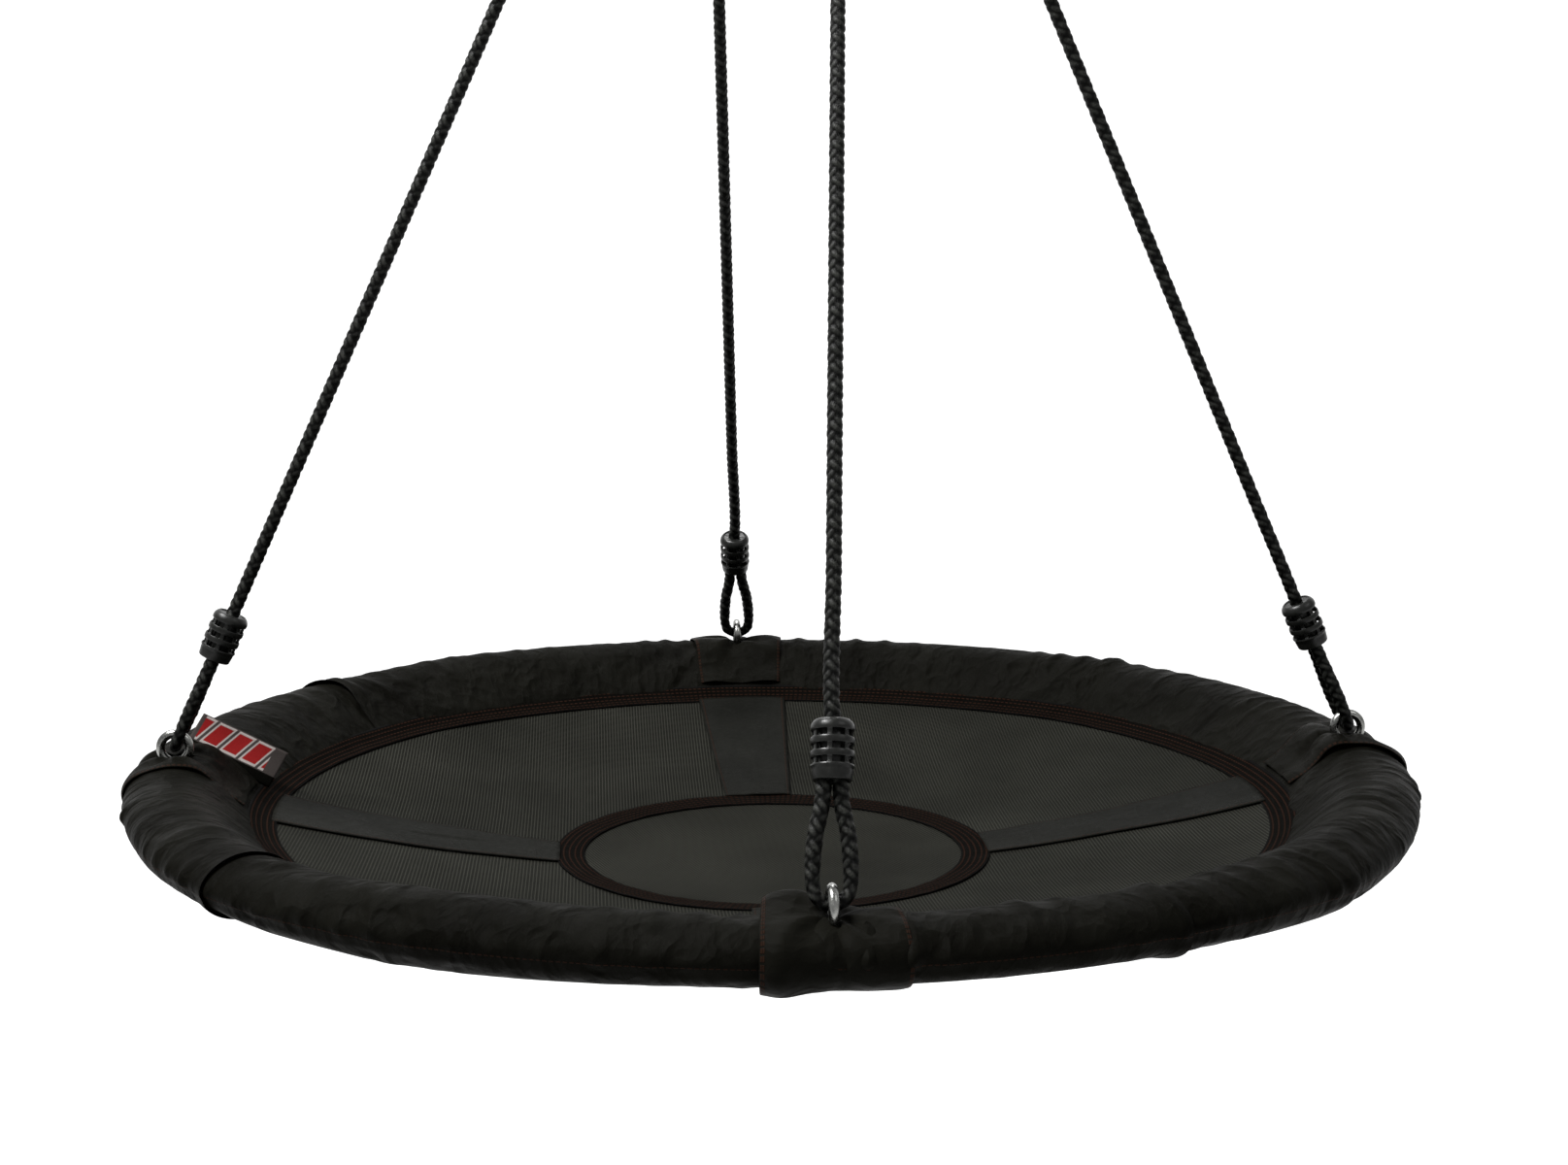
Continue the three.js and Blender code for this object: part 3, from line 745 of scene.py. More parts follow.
# Each window's columns, in parts of the step between bars: the bar's two edges, then its panes
BAR_HALF = 0.13
PANES = (0.33, 0.5, 0.67)
ON_AXIS = 0.0001


def clamp_profile():
    """[height, radius]: a smooth collar, then ribs that stand beyond the bars between them."""
    profile = [(0.0, 0.0126), (0.0008, 0.0134), (0.0072, 0.0142), (0.0084, 0.0142)]
    for low, high in CLAMP_ROWS:
        profile += [(low - 0.0011, CLAMP_RIB), (low, CLAMP_RIB - 0.0003),
                    (low + BAR_BLEND, CLAMP_RIB - BAR_DEPTH),
                    (high - BAR_BLEND, CLAMP_RIB - BAR_DEPTH), (high, CLAMP_RIB - 0.0003),
                    (high + 0.0011, CLAMP_RIB)]
    return profile + [(0.0366, 0.0151), (0.0388, 0.0146), (0.0408, 0.0132), (0.0420, 0.0118)]


def make_clamp(name, origin, axis, side):
    """A moulded cage: a collar, three rows of windows between ribs, and a chamfered top band."""
    profile = clamp_profile()
    across = np.cross(axis, side)
    step = 2 * math.pi / CLAMP_WINDOWS
    edges = []
    for k in range(CLAMP_WINDOWS):
        bar = BAR_HALF * step
        edges += [k * step - bar, k * step + bar] + [k * step + pane * step for pane in PANES]
    columns = len(edges)
    rings = np.array([[origin + axis * h + r * (side * math.cos(t) + across * math.sin(t))
                       for t in edges] for h, r in profile])
    points, quads = grid(rings, close_v=True)
    faces = []
    for number, (a, b, c, d) in enumerate(quads):
        i, j = divmod(number, columns)
        window_row = any(low - 1e-6 <= profile[i][0] and profile[i + 1][0] <= high + 1e-6
                         for low, high in CLAMP_ROWS)
        if not window_row or j % 5 == 0:
            faces.append((a, b, c, d))
    cage = add_piece(name, points, faces, clamp_material)
    thicken(cage, CLAMP_WALL)
    shape = Shape()
    for height in (0.0012, 0.0400):
        shape.lathe([[ON_AXIS, height], [CLAMP_END, height],
                     [CLAMP_END, height + CLAMP_END_THICKNESS],
                     [ON_AXIS, height + CLAMP_END_THICKNESS]], origin, axis, 28)
    shape.lathe([[ON_AXIS, 0.002], [CLAMP_CORE, 0.002], [CLAMP_CORE, 0.040], [ON_AXIS, 0.040]],
                origin, axis, 16)
    ends = shape.piece(name + "_ends", clamp_material)
    edit_mesh(cage, lambda form: form.from_mesh(ends.data))
    mesh = ends.data
    bpy.data.objects.remove(ends)
    bpy.data.meshes.remove(mesh)
    apply_modifier(cage, "BEVEL", width=0.0004, segments=2, limit_method="ANGLE",
                   angle_limit=math.radians(35))
    shade_smooth(cage.data)
    return cage


rope_material = rope_yarn("rope")
clamp_material = moulded_plastic("clamp")
for corner in CORNERS:
    pair, side = PAIR_OF[corner]
    bottom, axis, length, lower_side, upper_side = rope_frame(turn_of(corner), side)
    top = bottom + axis * length
    rope, line, rope_length = make_rope(
        f"braided_rope_{corner}", rope_route(bottom, axis, length, lower_side, upper_side),
        (bottom, top))
    finish_piece(rope, f"ropes_{pair}", f"rope_{corner}")
    lower = make_clamp(f"cage_clamp_lower_{corner}", bottom + axis * CLAMP_START, axis,
                       lower_side)
    upper = make_clamp(f"cage_clamp_upper_{corner}", top - axis * CLAMP_START, -axis, upper_side)
    finish_piece(lower, f"ropes_{pair}", f"lower_clamp_{corner}")
    finish_piece(upper, f"ropes_{pair}", f"upper_clamp_{corner}")


# ---------------------------------------------------------------- metal fittings
zinc_material = bright_zinc("zinc")
plate_material = bright_zinc("plate", (0.50, 0.51, 0.52), (0.36, 0.37, 0.38), 0.34, 3.0)
# Turned profiles of the eye bolt, as [radius, height over the eye's centre]
FLANGE = [[0.0001, -0.0171], [0.0070, -0.0171], [0.0075, -0.0168], [0.0075, -0.0159],
          [0.0070, -0.0156], [0.0046, -0.0154], [0.0040, -0.0140], [0.0040, -0.0128],
          [0.0001, -0.0125]]
SHANK = [[0.0001, -0.0505], [0.0034, -0.0505], [0.0040, -0.0499], [0.0040, -0.0160],
         [0.0001, -0.0160]]
BOW_BAR = 0.004
BOW_HALF = 0.018
BOW_BEND = 0.011
BOW_STRAIGHT_END = -0.015
BOW_BEND_TOP = -0.025


def circle_line(centre, radius, first, second, count):
    turn = full_turn(count)[:, None]
    return np.asarray(centre) + radius * (np.cos(turn) * first + np.sin(turn) * second)


for corner in CORNERS:
    turn = turn_of(corner)
    outward = np.array([math.cos(turn), math.sin(turn), 0])
    eye = outward * EYE_RADIUS + UP * EYE_Z
    bolt = Shape()
    bolt.tube(circle_line(eye, EYE_RING, outward, UP, 64), EYE_WIRE, 20, np.cross(outward, UP),
              closed=True)
    bolt.lathe(FLANGE, eye, UP, 36)
    bolt.lathe(SHANK, eye, UP, 24)
    finish_piece(bolt.piece(f"eye_{corner}", zinc_material), "seat",
                 f"eye_bolt_{corner}")

for pair, side in (("a", -1), ("b", 1)):
    centre = np.array([side * RING_X, 0, RING_Z])
    ring = Shape()
    ring.tube(circle_line(centre, RING_RADIUS, ACROSS_PAIR, UP, 96), RING_WIRE, 24, ALONG_PLATE,
              closed=True)
    finish_piece(ring.piece(f"ring_{pair}", zinc_material), f"ring_{pair}",
                 f"hanging_ring_{pair}")
    bow_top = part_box(f"plate_bow_{pair}")[1][2]
    route = [(-BOW_HALF, bow_top), (-BOW_HALF, BOW_STRAIGHT_END)]
    route += [(-BOW_HALF + BOW_BEND * (1 - math.cos(t)), BOW_BEND_TOP - BOW_BEND * math.sin(t))
              for t in np.linspace(0, QUARTER, 6)]
    route += [(-x, z) for x, z in reversed(route)]
    bow = Shape()
    bow.tube(smooth_line([(side * RING_X + x, 0, z) for x, z in route], 0.002), BOW_BAR, 20,
             ACROSS_PAIR)
    finish_piece(bow.piece(f"bow_{pair}", plate_material), "hanger",
                 f"plate_bow_{pair}")


# ---------------------------------------------------------------- padded sleeves
foam_material = plain_foam("foam")
SLEEVE_STEP = 0.0042
SLEEVE_LAP = 0.009
# From SKIRT_TOP_ANGLE over the rim and round below, back to the inside
OVAL_LAST_ANGLE = 199 - 360
OVAL_CENTRE = np.array([EYE_RADIUS, -RIM_DROP])


def sleeve_section(shrink=0.0012):
    """From the seam under the outer tape up the skirt, over the rim, round and back."""
    oval = oval_point(np.linspace(SKIRT_TOP_ANGLE, OVAL_LAST_ANGLE, 64), -shrink)
    under = np.array([[SEAM[0], SEAM[1] - 0.0015]])
    return resampled(np.concatenate([skirt_path(SEAM[0], 0.0004), oval, under]), SLEEVE_STEP)


section = sleeve_section()
section_reach = distance_along(section)
# The outer seam sits a little below the rim's widest line
OUTER_SEAM_ANGLE = -14
SEAM_REACH = float(section_reach[np.argmin(np.linalg.norm(
    section - oval_point(OUTER_SEAM_ANGLE), axis=1))])
# Where each sleeve starts and ends, in degrees from +X: near the tube joints, not at them
SLEEVE_ENDS = {"right": (-19.0, 89.0), "back": (89.0, 188.0), "left": (188.0, 263.0),
               "front": (263.0, 341.0)}


def angles_of(corner):
    """A sleeve's stations, measured from its own eye. It laps over the next sleeve's start."""
    low, high = (math.radians(end - CORNERS[corner]) for end in SLEEVE_ENDS[corner])
    count = int((high - low) * JOINT_RADIUS / SLEEVE_STEP)
    return np.linspace(low, high + SLEEVE_LAP, count)


def from_nearest_end(angle, ends):
    return min(angle - ends[0], ends[1] - angle)


def gather_rate(angle, ends, seed):
    """How much longer the cloth is than the rim there: most at the collar and the two ends."""
    by_collar = hump(abs(angle) - math.radians(6), math.radians(10))
    by_end = hump(from_nearest_end(angle, ends), math.radians(13))
    return 0.045 + 0.075 * by_collar + 0.11 * by_end \
        + 0.05 * wobble(angle * 9 + seed, seed, 0.3)


sleeve_material = nylon("sleeve", (SEAM_REACH - 0.0022,), 0.0010, row_width=0.0005)


def ridge(phase, sharpness):
    """A row of crests, 1 on each crest and 0 between them."""
    return (1 - abs(2 * (phase - math.floor(phase)) - 1)) ** sharpness


def fold_height(along, angle, ends, s, seed):
    """Gathers that run over the rim, slanting, deepest by the collar and at the sleeve's ends.

    along and s are metres along the rim and round the section, and seed picks the pattern.
    """
    bend = 0.010 * wobble(along * 14, s * 9, seed) + 0.004 * wobble(along * 45, s * 22, seed)
    slant = 0.30 * wobble(along * 5, seed, 1.7)
    broad = ridge((along + bend + slant * s) / 0.029, 2.8)
    narrow = ridge((along + 0.6 * bend - 0.5 * slant * s + 0.004) / 0.0165, 1.8)
    patch = min(max(0.38 + 1.7 * wobble(along * 17, s * 13, seed + 5.1), 0.08), 1.2)
    other = min(max(0.35 + 1.2 * wobble(along * 23, s * 19, seed + 8.3), 0), 1)
    near = hump(abs(angle) - math.radians(7), math.radians(9)) \
        + hump(from_nearest_end(angle, ends), math.radians(9))
    top = 0.45 + 0.55 * hump(s - SEAM_REACH * 0.55, 0.045)
    hem = 1.3 * hump(s - SEAM_REACH + 0.009, 0.009)
    below = 1 if s < SEAM_REACH else 0.3
    size = (0.0017 + 0.0032 * near) * (top + hem) * below
    return size * (broad * patch + 0.25 * narrow * other) \
        - 0.0011 * hump(s - SEAM_REACH, 0.0022)


def sleeve_points(index, corner):
    """The sleeve before it settles, with a loose hem at the end that laps over its neighbour."""
    angles = angles_of(corner)
    outer = np.broadcast_to(section, (len(angles), *section.shape)).copy()
    out = section - OVAL_CENTRE
    away = out / np.linalg.norm(out, axis=1)[:, None]
    on_oval = np.clip((section[:, 0] - SEAM[0] - 0.006) / 0.02, 0, 1)
    ends = (angles[0], angles[-1])
    for i, angle in enumerate(angles):
        flare = hump((angles[-1] - angle) * EYE_RADIUS, 0.012)
        tuck = -0.0012 * hump((angle - angles[0]) * EYE_RADIUS, 0.014)
        for j, s in enumerate(section_reach):
            gape = 0.0032 + 0.0022 * wobble(s * 16, index * 3.3)
            folds = fold_height(angle * EYE_RADIUS, angle, ends, s, index * 7.1 + 0.4)
            outer[i, j] += away[j] * ((flare * gape + tuck) * on_oval[j] + on_oval[j] * folds)
    return placed(outer, angles, turn_of(corner))


sleeves = []
for index, corner in enumerate(CORNERS):
    points = sleeve_points(index, corner)
    vertices, faces = grid(points, close_v=True)
    sleeves.append(add_piece(f"sleeve_{corner}", vertices, faces, sleeve_material,
                             grid_uvs(points)))


def stretched_rest(index, corner):
    """The cloth as cut: longer along the rim than the rim itself, and a little wider."""
    angles = angles_of(corner)
    ends = (angles[0], angles[-1])
    rates = [gather_rate(a, ends, 3.7 * index + 1.3) for a in angles]
    grown = np.concatenate([[0], np.cumsum(np.diff(angles) * (1 + np.array(rates[1:])))])
    world = (grown - grown[-1] / 2)[:, None] + turn_of(corner)
    wide = OVAL_CENTRE + (section - OVAL_CENTRE) * 1.03
    radius, height = wide[:, 0], np.broadcast_to(wide[:, 1] + EYE_Z, (len(world), len(wide)))
    return np.stack([radius * np.cos(world), radius * np.sin(world), height], axis=-1)


CLOTH_FRAMES = 20
CAP_OUT = 0.0060
CAP_IN = 0.0034
CAP_SLIDE = 0.005
HELD_NEAR_EYE = math.radians(4.2)
CLOTH = {"quality": 7, "mass": 0.12, "tension_stiffness": 20, "compression_stiffness": 6,
         "shear_stiffness": 6, "bending_stiffness": 0.02, "air_damping": 2,
         "use_pressure": True, "uniform_pressure_force": 3.2, "vertex_group_mass": "held"}


def read_vertices(piece, key):
    values = np.empty(len(piece.data.vertices) * 3, np.float32)
    piece.data.vertices.foreach_get(key, values)
    return values.reshape(-1, 3).astype(float)


def add_cloth(index, corner, sleeve):
    angles = angles_of(corner)
    columns = len(section)
    sleeve.shape_key_add(name="Basis")
    rest = sleeve.shape_key_add(name="cut")
    rest.data.foreach_set("co", stretched_rest(index, corner).reshape(-1).astype(np.float32))
    held = sleeve.vertex_groups.new(name="held")
    for i, angle in enumerate(angles):
        held_row = i < 2 or i > len(angles) - 3 or abs(angle) < HELD_NEAR_EYE
        for j in range(columns):
            if held_row or j <= 1 or j >= columns - 2:
                held.add([i * columns + j], 1.0, "REPLACE")
    modifier = sleeve.modifiers.new("cloth", "CLOTH")
    for key, value in CLOTH.items():
        setattr(modifier.settings, key, value)
    modifier.settings.rest_shape_key = rest
    modifier.settings.effector_weights.gravity = 0
    modifier.point_cache.frame_start = 1
    modifier.point_cache.frame_end = CLOTH_FRAMES


def settle_sleeves():
    """Lets the cloth buckle into gathers over the foam, then keeps the shape, within limits."""
    for index, (corner, sleeve) in enumerate(zip(CORNERS, sleeves)):
        add_cloth(index, corner, sleeve)
    for number in range(1, CLOTH_FRAMES + 1):
        scene.frame_set(number)
    graph = bpy.context.evaluated_depsgraph_get()
    for sleeve in sleeves:
        start, normals = read_vertices(sleeve, "co"), read_vertices(sleeve, "normal")
        move = read_vertices(sleeve.evaluated_get(graph), "co") - start
        out = (move * normals).sum(axis=1)
        kept = CAP_OUT * np.tanh(np.maximum(out, 0) / CAP_OUT) \
            - CAP_IN * np.tanh(np.maximum(-out, 0) / CAP_IN)
        slide = move - out[:, None] * normals
        length = np.linalg.norm(slide, axis=1)
        slide *= np.minimum(1, CAP_SLIDE / np.maximum(length, 1e-9))[:, None]
        final = start + slide + kept[:, None] * normals
        sleeve.modifiers.clear()
        sleeve.shape_key_clear()
        sleeve.data.vertices.foreach_set("co", final.astype(np.float32).ravel())
        sleeve.data.update()
    scene.frame_set(1)


settle_sleeves()

FOAM_SHRINK = 0.0078
FOAM_ANGLES = np.radians(np.linspace(-44.8, 44.8, 60))
FOAM_SIDES = 40
for index, (corner, sleeve) in enumerate(zip(CORNERS, sleeves)):
    subdivide(sleeve)
    finish_piece(sleeve, "seat", f"cover_{corner}")
    degrees = np.linspace(0, 360, FOAM_SIDES, endpoint=False)
    core = placed(oval_point(degrees, -FOAM_SHRINK), FOAM_ANGLES, turn_of(corner))
    rings, faces = grid(core, close_v=True)
    foam = add_piece(f"foam_core_{corner}", rings, capped(faces, len(FOAM_ANGLES), FOAM_SIDES),
                     foam_material)
    finish_piece(foam, "seat", f"foam_{corner}")


# ---------------------------------------------------------------- collars
COLLAR_WIDTH = 0.0955
COLLAR_COLUMNS = 49
COLLAR_SLOT = (0.0165, 0.0048)
FABRIC_THICKNESS = 0.0012
# How far round the section the front collar's loose folds stand up and hang down
STAND_REACH = 0.050
LOBE_REACH = 0.118
# How loose each collar is on its two sides, from 0 to 1: [towards greater angles, the other]
LOOSE = {"front": (0.15, 1.0), "back": (0.35, 0.35), "left": (0.2, 0.1), "right": (0.3, 0.5)}
collar_material = nylon("collar", (0.0016, 0.0030), 0.0007, shine=0.36)


def collar_path():
    oval = oval_point(np.linspace(SKIRT_TOP_ANGLE, -150, 90))
    return resampled(np.concatenate([skirt_path(0.452), oval]), 0.003)


def collar_lift(w, s, ds, loose, index):
    """Height over the rim at w across the collar and s round it, ds of that from the eye."""
    far = math.hypot(w, ds)
    turn = math.atan2(w, ds)
    aside = abs(w)
    pinch = -0.0024 * hump(w, 0.010) * hump(ds, 0.055)
    rays = math.cos(5 * turn + 1.7 * index + 0.8 * wobble(turn * 2, index)) \
        + 0.6 * math.cos(9 * turn + 2.9 * index)
    crease = 0.0019 * rays * hump(far - 0.022, 0.022)
    bend = 0.004 * math.sin(ds * 90 + index)
    notch = -0.0048 * hump(w - bend, 0.0040) * (1 if ds > 0.0 else 0.3) \
        * hump(ds - 0.030, 0.03)
    swell = loose * 0.0035 * hump(aside - 0.034, 0.016)
    lobe = loose * 0.0050 * hump(aside - 0.036, 0.011) * hump(s - LOBE_REACH, 0.016)
    stand = loose * 0.0105 * hump(s - STAND_REACH, 0.016) * hump(aside - 0.027, 0.0235, 6)
    rise = loose * 0.0075 * hump(s, 0.012) * hump(aside - 0.030, 0.020)
    small = 0.0006 * wobble(w * 60, s * 40, index * 5.3)
    tucked = -0.0009 * hump(COLLAR_WIDTH / 2 - aside, 0.0035) * (1 - loose)
    return 0.0018 + pinch + crease + notch + swell + lobe + rise + stand + small + tucked


def make_collar(name, corner, index):
    """A wide band over the rim, pinched in round the eye, with creases running from the eye."""
    path = collar_path()
    reach = distance_along(path)
    below = path[:, 1] < -RIM_DROP
    eye_at = reach[np.argmin(np.abs(path[:, 0] - EYE_RADIUS) + 10 * below)]
    rows = []
    for i in range(COLLAR_COLUMNS):
        w = (i / (COLLAR_COLUMNS - 1) - 0.5) * COLLAR_WIDTH
        loose = LOOSE[corner][0 if w > 0 else 1]
        rows.append(lifted(path, [collar_lift(w, s, s - eye_at, loose, index) for s in reach]))
    columns = np.arange(COLLAR_COLUMNS)
    angles = (columns / (COLLAR_COLUMNS - 1) - 0.5) * COLLAR_WIDTH / EYE_RADIUS
    vertices, faces = grid(placed(np.array(rows), angles, turn_of(corner)))
    # The stitches run along both long edges, so across is the distance from the nearer edge
    width = np.linspace(0, COLLAR_WIDTH, COLLAR_COLUMNS)
    across, along = np.meshgrid(np.minimum(width, COLLAR_WIDTH - width), reach, indexing="ij")
    collar = add_piece(name, vertices, faces, collar_material,
                       np.stack([along, across], axis=2).reshape(-1, 2))
    slot_half, slot_wide = COLLAR_SLOT

    def in_slot(centre):
        off = math.remainder(math.atan2(centre.y, centre.x) - turn_of(corner), 2 * math.pi)
        return (abs(centre.xy.length - EYE_RADIUS) < slot_half
                and centre.z > EYE_Z - RIM_DROP and abs(off) * EYE_RADIUS < slot_wide)

    slot = [face.index for face in collar.data.polygons if in_slot(face.center)]

    def cut_slot(form):
        form.faces.ensure_lookup_table()
        bmesh.ops.delete(form, geom=[form.faces[i] for i in slot], context="FACES")

    edit_mesh(collar, cut_slot)
    thicken(collar, FABRIC_THICKNESS)
    subdivide(collar)
    return collar


for index, corner in enumerate(CORNERS):
    collar = make_collar(f"strap_collar_{corner}", corner, index)
    finish_piece(collar, "seat", f"collar_{corner}")


# ---------------------------------------------------------------- tapes
TAPE_STEP = 0.0022
TAPE_LIFT = 0.0016


def ring_tape(name, path, material, ripple, count):
    """A tape on that path all round the seat, with slight ripples."""
    angles = full_turn(count)
    base = resampled(path, TAPE_STEP)
    rows = []
    for angle in angles:
        x, y = math.cos(angle) * 6, math.sin(angle) * 6
        lift = [TAPE_LIFT + ripple * wobble(x * 2.2, y * 2.2, 40 * k * TAPE_STEP)
                for k in range(len(base))]
        rows.append(lifted(base, lift))
    points = placed(np.array(rows), angles, turn_of("right"))
    tape = grid_piece(name, points, material, closed=True)
    thicken(tape, FABRIC_THICKNESS)
    return tape


outer_path = np.array([[OUTER_TAPE[0], float(dish(OUTER_TAPE[0]))], SEAM,
                       [OUTER_TAPE[1], float(skirt_height(OUTER_TAPE[1]))]])
outer_material = binding_tape("outer_tape", (0.0028, 0.0078, 0.0128, 0.0178, 0.0225), 0.0256)
outer = ring_tape("outer_binding", outer_path, outer_material, 0.0007, 720)
finish_piece(outer, "seat", "outer_tape")

radii = np.linspace(*CENTRE_TAPE, 9)
centre_path = np.stack([radii, dish(radii)], axis=1)
centre_material = binding_tape("centre_tape", (0.0030, 0.0080, 0.0130, 0.0180, 0.0222), 0.0252)
centre = ring_tape("centre_binding", centre_path, centre_material, 0.0006, 360)
finish_piece(centre, "seat", "centre_tape")


# ---------------------------------------------------------------- mesh seat
mesh_material = open_mesh("seat_mesh")
CENTRE_SEAM = sum(CENTRE_TAPE) / 2
PANEL_SLACK = 0.0035
DISC_WEAVE_TURN = 0.35


def sheet_surface(radius, angle):
    """The stretched mesh: the dish, a little slack between the straps, and faint pull lines."""
    between = math.sin(2 * (angle % QUARTER)) ** 2
    share = (radius - CENTRE_SEAM) / (SEAM_RADIUS - CENTRE_SEAM)
    slack = math.sin(math.pi * min(max(share, 0), 1))
    x, y = radius * math.cos(angle), radius * math.sin(angle)
    ripple = 0.0022 * wobble(x * 5, y * 5, 2.0) + 0.0010 * wobble(x * 13, y * 13, 5.0)
    return float(dish(radius)) - PANEL_SLACK * between * slack + ripple * slack


def disc_height(x, y, radius):
    return EYE_Z + float(dish(radius)) \
        + 0.0018 * wobble(x * 7, y * 7, 9.0) * (1 - (radius / CENTRE_SEAM) ** 2)


def weave_uvs(points, turn):
    """Flat coordinates along the mesh's own yarns, turned by that angle from +X."""
    x, y = points[..., 0], points[..., 1]
    return np.stack([x * math.cos(turn) + y * math.sin(turn),
                     y * math.cos(turn) - x * math.sin(turn)], axis=-1).reshape(-1, 2) + 2.0


for corner in CORNERS:
    turn = turn_of(corner)
    angles = np.radians(np.linspace(0.06, 89.94, 91))
    radii = np.linspace(CENTRE_SEAM + 0.0003, SEAM_RADIUS - 0.0006, 46)
    heights = np.array([[[r, sheet_surface(r, a)] for r in radii] for a in angles])
    points = placed(heights, angles, turn)
    vertices, faces = grid(points)
    panel = add_piece(f"mesh_{corner}", vertices, faces, mesh_material,
                      weave_uvs(points, turn + math.pi / 4))
    finish_piece(panel, "seat", f"mesh_panel_{corner}")

turns = full_turn(96)
radii = np.linspace(0.0006, CENTRE_SEAM - 0.0015, 26)
points = np.array([[[r * math.cos(t), r * math.sin(t),
                     disc_height(r * math.cos(t), r * math.sin(t), r)] for r in radii]
                   for t in turns])
vertices, faces = grid(points, close_u=True)
hub = tuple(i * len(radii) for i in range(len(turns)))
disc = add_piece("mesh_centre", vertices, faces + [hub], mesh_material,
                 weave_uvs(points, DISC_WEAVE_TURN))
finish_piece(disc, "seat", "centre_mesh")


# ---------------------------------------------------------------- straps
STRAP_COLUMNS = 31
STRAP_HALF_INNER = 0.031
STRAP_WIDENING = 0.014
STRAP_LIFT = 0.0012
STRAP_EDGE_SCALE = 0.08
strap_material = nylon("strap", (0.0030,), 0.0003, 0.30, dark=(0.0034, 0.0035, 0.0029),
                       light=(0.0058, 0.0059, 0.0050))


def make_strap(name, corner, index):
    """A flat nylon band over the panel seam, wider at the rim, stitched along both edges."""
    reach = np.linspace(CENTRE_TAPE[1] - 0.004, OUTER_TAPE[0] + 0.004, 60)
    rows = []
    for i in range(STRAP_COLUMNS):
        share = i / (STRAP_COLUMNS - 1) * 2 - 1
        row = []
        for r in reach:
            along = (r - reach[0]) / (reach[-1] - reach[0])
            half = STRAP_HALF_INNER + STRAP_WIDENING * along
            # The inner end is cut straight, and the outer end follows the rim
            x = math.sqrt(max(r * r - along * (half * share) ** 2, 0))
            y = share * half
            angle, radius = math.atan2(y, x), math.hypot(x, y)
            crown = 0.0012 * (1 - share ** 4)
            crease = 0.0010 * wobble(x * 18, y * 60, index * 3.1) * (1 - abs(share) ** 6)
            height = sheet_surface(radius, angle % QUARTER)
            row.append([radius, height + STRAP_LIFT + crown + crease, angle])
        rows.append(row)
    rows = np.array(rows)
    points = on_rim(rows[..., 0], rows[..., 2], rows[..., 1], turn_of(corner))
    vertices, faces = grid(points)
    column = np.arange(STRAP_COLUMNS)
    edge = np.minimum(column, column[::-1]) / (STRAP_COLUMNS - 1) * STRAP_EDGE_SCALE
    across, along = np.meshgrid(edge, reach, indexing="ij")
    strap = add_piece(name, vertices, faces, strap_material,
                      np.stack([along, across], axis=-1).reshape(-1, 2))
    thicken(strap, 0.0011, 1.0)
    return strap


for index, corner in enumerate(CORNERS):
    strap = make_strap(f"strap_{corner}", corner, index)
    finish_piece(strap, "seat", f"seat_strap_{corner}")


# ---------------------------------------------------------------- label
# Its corners in the left eye's own frame: [outwards, sideways, height over the eyes]
LABEL_OUTER = np.array([0.508, -0.0470, -0.0020])
LABEL_INNER = np.array([0.436, -0.0494, -0.0400])
LABEL_UP = np.array([-0.0113, -0.0140, 0.0189])
# The dark hem it is sewn on by, as a share of the label's height
LABEL_HEM = 0.38


def label_point(down, rise):
    """down is 0 at the eye's end and 1 at the tape's end. rise is below 0 on the hem."""
    bow = np.array([0, -0.0016 * math.sin(math.pi * max(rise, 0)), 0])
    wave = np.array([0, 0.0014 * max(rise, 0) * wobble(down * 3.1, 4.0), 0])
    return LABEL_OUTER + (LABEL_INNER - LABEL_OUTER) * down + LABEL_UP * rise + bow + wave


rises = np.linspace(-LABEL_HEM, 1, 15)
downs = np.linspace(0, 1, 45)
rows = np.array([[label_point(down, rise) for down in downs] for rise in rises])
turn = turn_of("left")
points = np.stack([rows[..., 0] * math.cos(turn) - rows[..., 1] * math.sin(turn),
                   rows[..., 0] * math.sin(turn) + rows[..., 1] * math.cos(turn),
                   rows[..., 2] + EYE_Z], axis=-1)
label_width = float(np.linalg.norm(LABEL_UP))
label_length = np.linalg.norm(LABEL_INNER - LABEL_OUTER)
across, along = np.meshgrid(label_width * rises, np.linspace(0, label_length, len(downs)),
                            indexing="ij")
vertices, faces = grid(points)
label = add_piece("striped_label", vertices, faces,
                  striped_label("label", label_length, label_width),
                  np.stack([along, across], axis=2).reshape(-1, 2))
thicken(label, 0.0010, 0.0)
finish_piece(label, "seat", "woven_label")


# ---------------------------------------------------------------- carried-over nodes
tube_material = bright_zinc("tube", (0.09, 0.09, 0.09), (0.05, 0.05, 0.05), 0.42)
NODE_LOOKS = {"frame_tube": tube_material, "joint_sleeve": tube_material,
              "eye_nut": zinc_material, "ceiling_plate": plate_material}
for name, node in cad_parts.items():
    for start, material in NODE_LOOKS.items():
        if name.startswith(start) and not node.hide_render:
            node.data.materials.clear()
            node.data.materials.append(material)


# ---------------------------------------------------------------- stage and light
FLOOR = -1.95
FLOOR_FRONT, FLOOR_BACK, FLOOR_HALF_WIDTH = -6.0, 3.0, 9
SWEEP_RADIUS = 2.0
WALL_TOP = 9.0


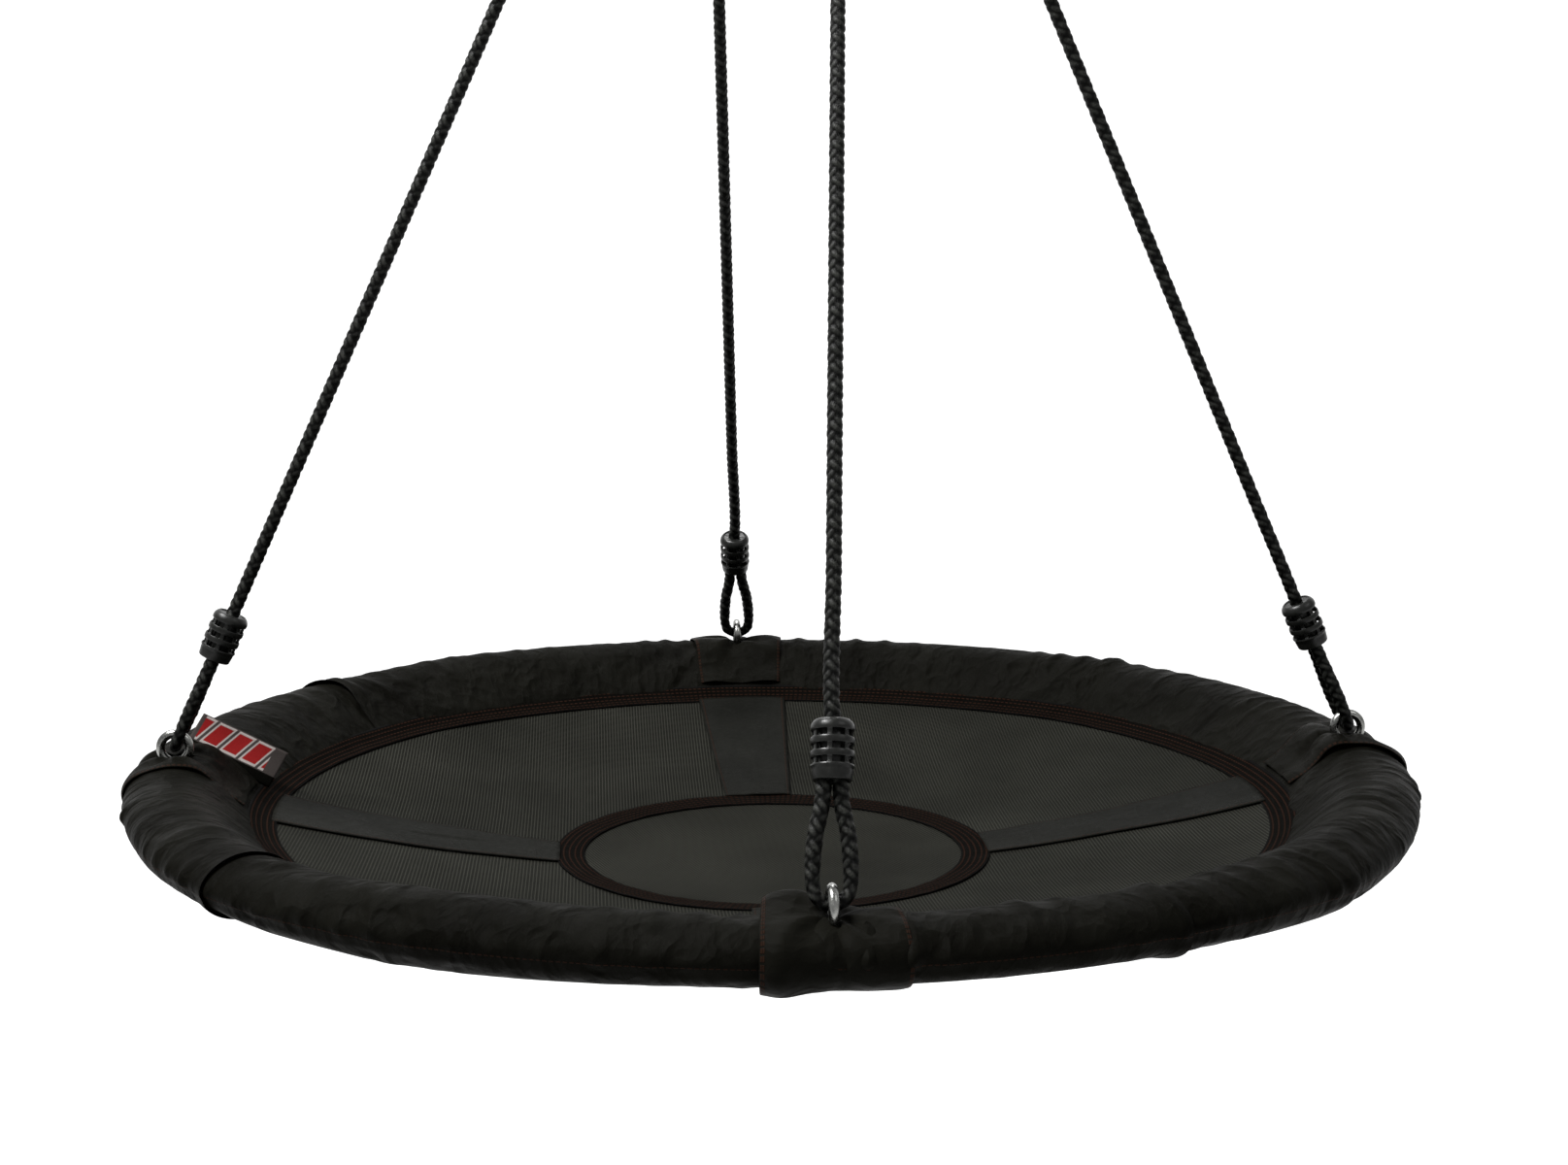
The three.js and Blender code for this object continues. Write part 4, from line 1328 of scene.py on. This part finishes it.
def backdrop():
    """A pale floor that curves up behind, square to the camera."""
    profile = [(FLOOR_FRONT, 0.0), (FLOOR_BACK, 0.0)]
    profile += [(FLOOR_BACK + SWEEP_RADIUS * math.sin(a), SWEEP_RADIUS * (1 - math.cos(a)))
                for a in np.linspace(0.1, QUARTER, 16)]
    profile += [(FLOOR_BACK + SWEEP_RADIUS, WALL_TOP)]
    cos, sin = math.cos(CAMERA_AZIMUTH), math.sin(CAMERA_AZIMUTH)
    rows = [[(across * cos - back * sin, across * sin + back * cos, FLOOR + height)
             for back, height in profile]
            for across in np.linspace(-FLOOR_HALF_WIDTH, FLOOR_HALF_WIDTH, 3)]
    look = Look("backdrop", 0.9, ior=1.1)
    look.set("Base Color", mix(patches(look.place(), 1.5, 2, 0.3, 0.7), (0.30, 0.30, 0.30),
                               (0.32, 0.32, 0.32)))
    look.set("Emission Color", (1, 1, 1))
    look.set("Emission Strength", 0.85)
    grid_piece("backdrop", np.array(rows), look.material, flip=True)


def soft_box(name, azimuth, elevation, distance, size, power):
    """An area light that faces the swing, at degrees round from -Y and degrees up."""
    light = bpy.data.lights.new(name, "AREA")
    light.shape = "RECTANGLE"
    light.size, light.size_y = size
    light.energy = power
    lamp = bpy.data.objects.new(name, light)
    scene.collection.objects.link(lamp)
    a, e = math.radians(azimuth), math.radians(elevation)
    target = Vector((0, 0, -1.0))
    lamp.location = target + Vector((math.sin(a) * math.cos(e), -math.cos(a) * math.cos(e),
                                     math.sin(e))) * distance
    lamp.rotation_euler = (target - lamp.location).to_track_quat("-Z", "Y").to_euler()


backdrop()
soft_box("key", azimuth=-28, elevation=58, distance=3.0, size=(1.1, 0.8), power=230)
soft_box("fill", azimuth=100, elevation=42, distance=3.4, size=(1.2, 1.2), power=16)
soft_box("back", azimuth=230, elevation=52, distance=3.2, size=(1.8, 1.2), power=60)

world = bpy.data.worlds.new("studio")
scene.world = world
world.use_nodes = True
world_light = world.node_tree.nodes["Background"]
world_light.inputs["Color"].default_value = (1, 1, 1, 1)
world_light.inputs["Strength"].default_value = 0.45
scene.view_settings.view_transform = "Standard"
scene.view_settings.look = "None"
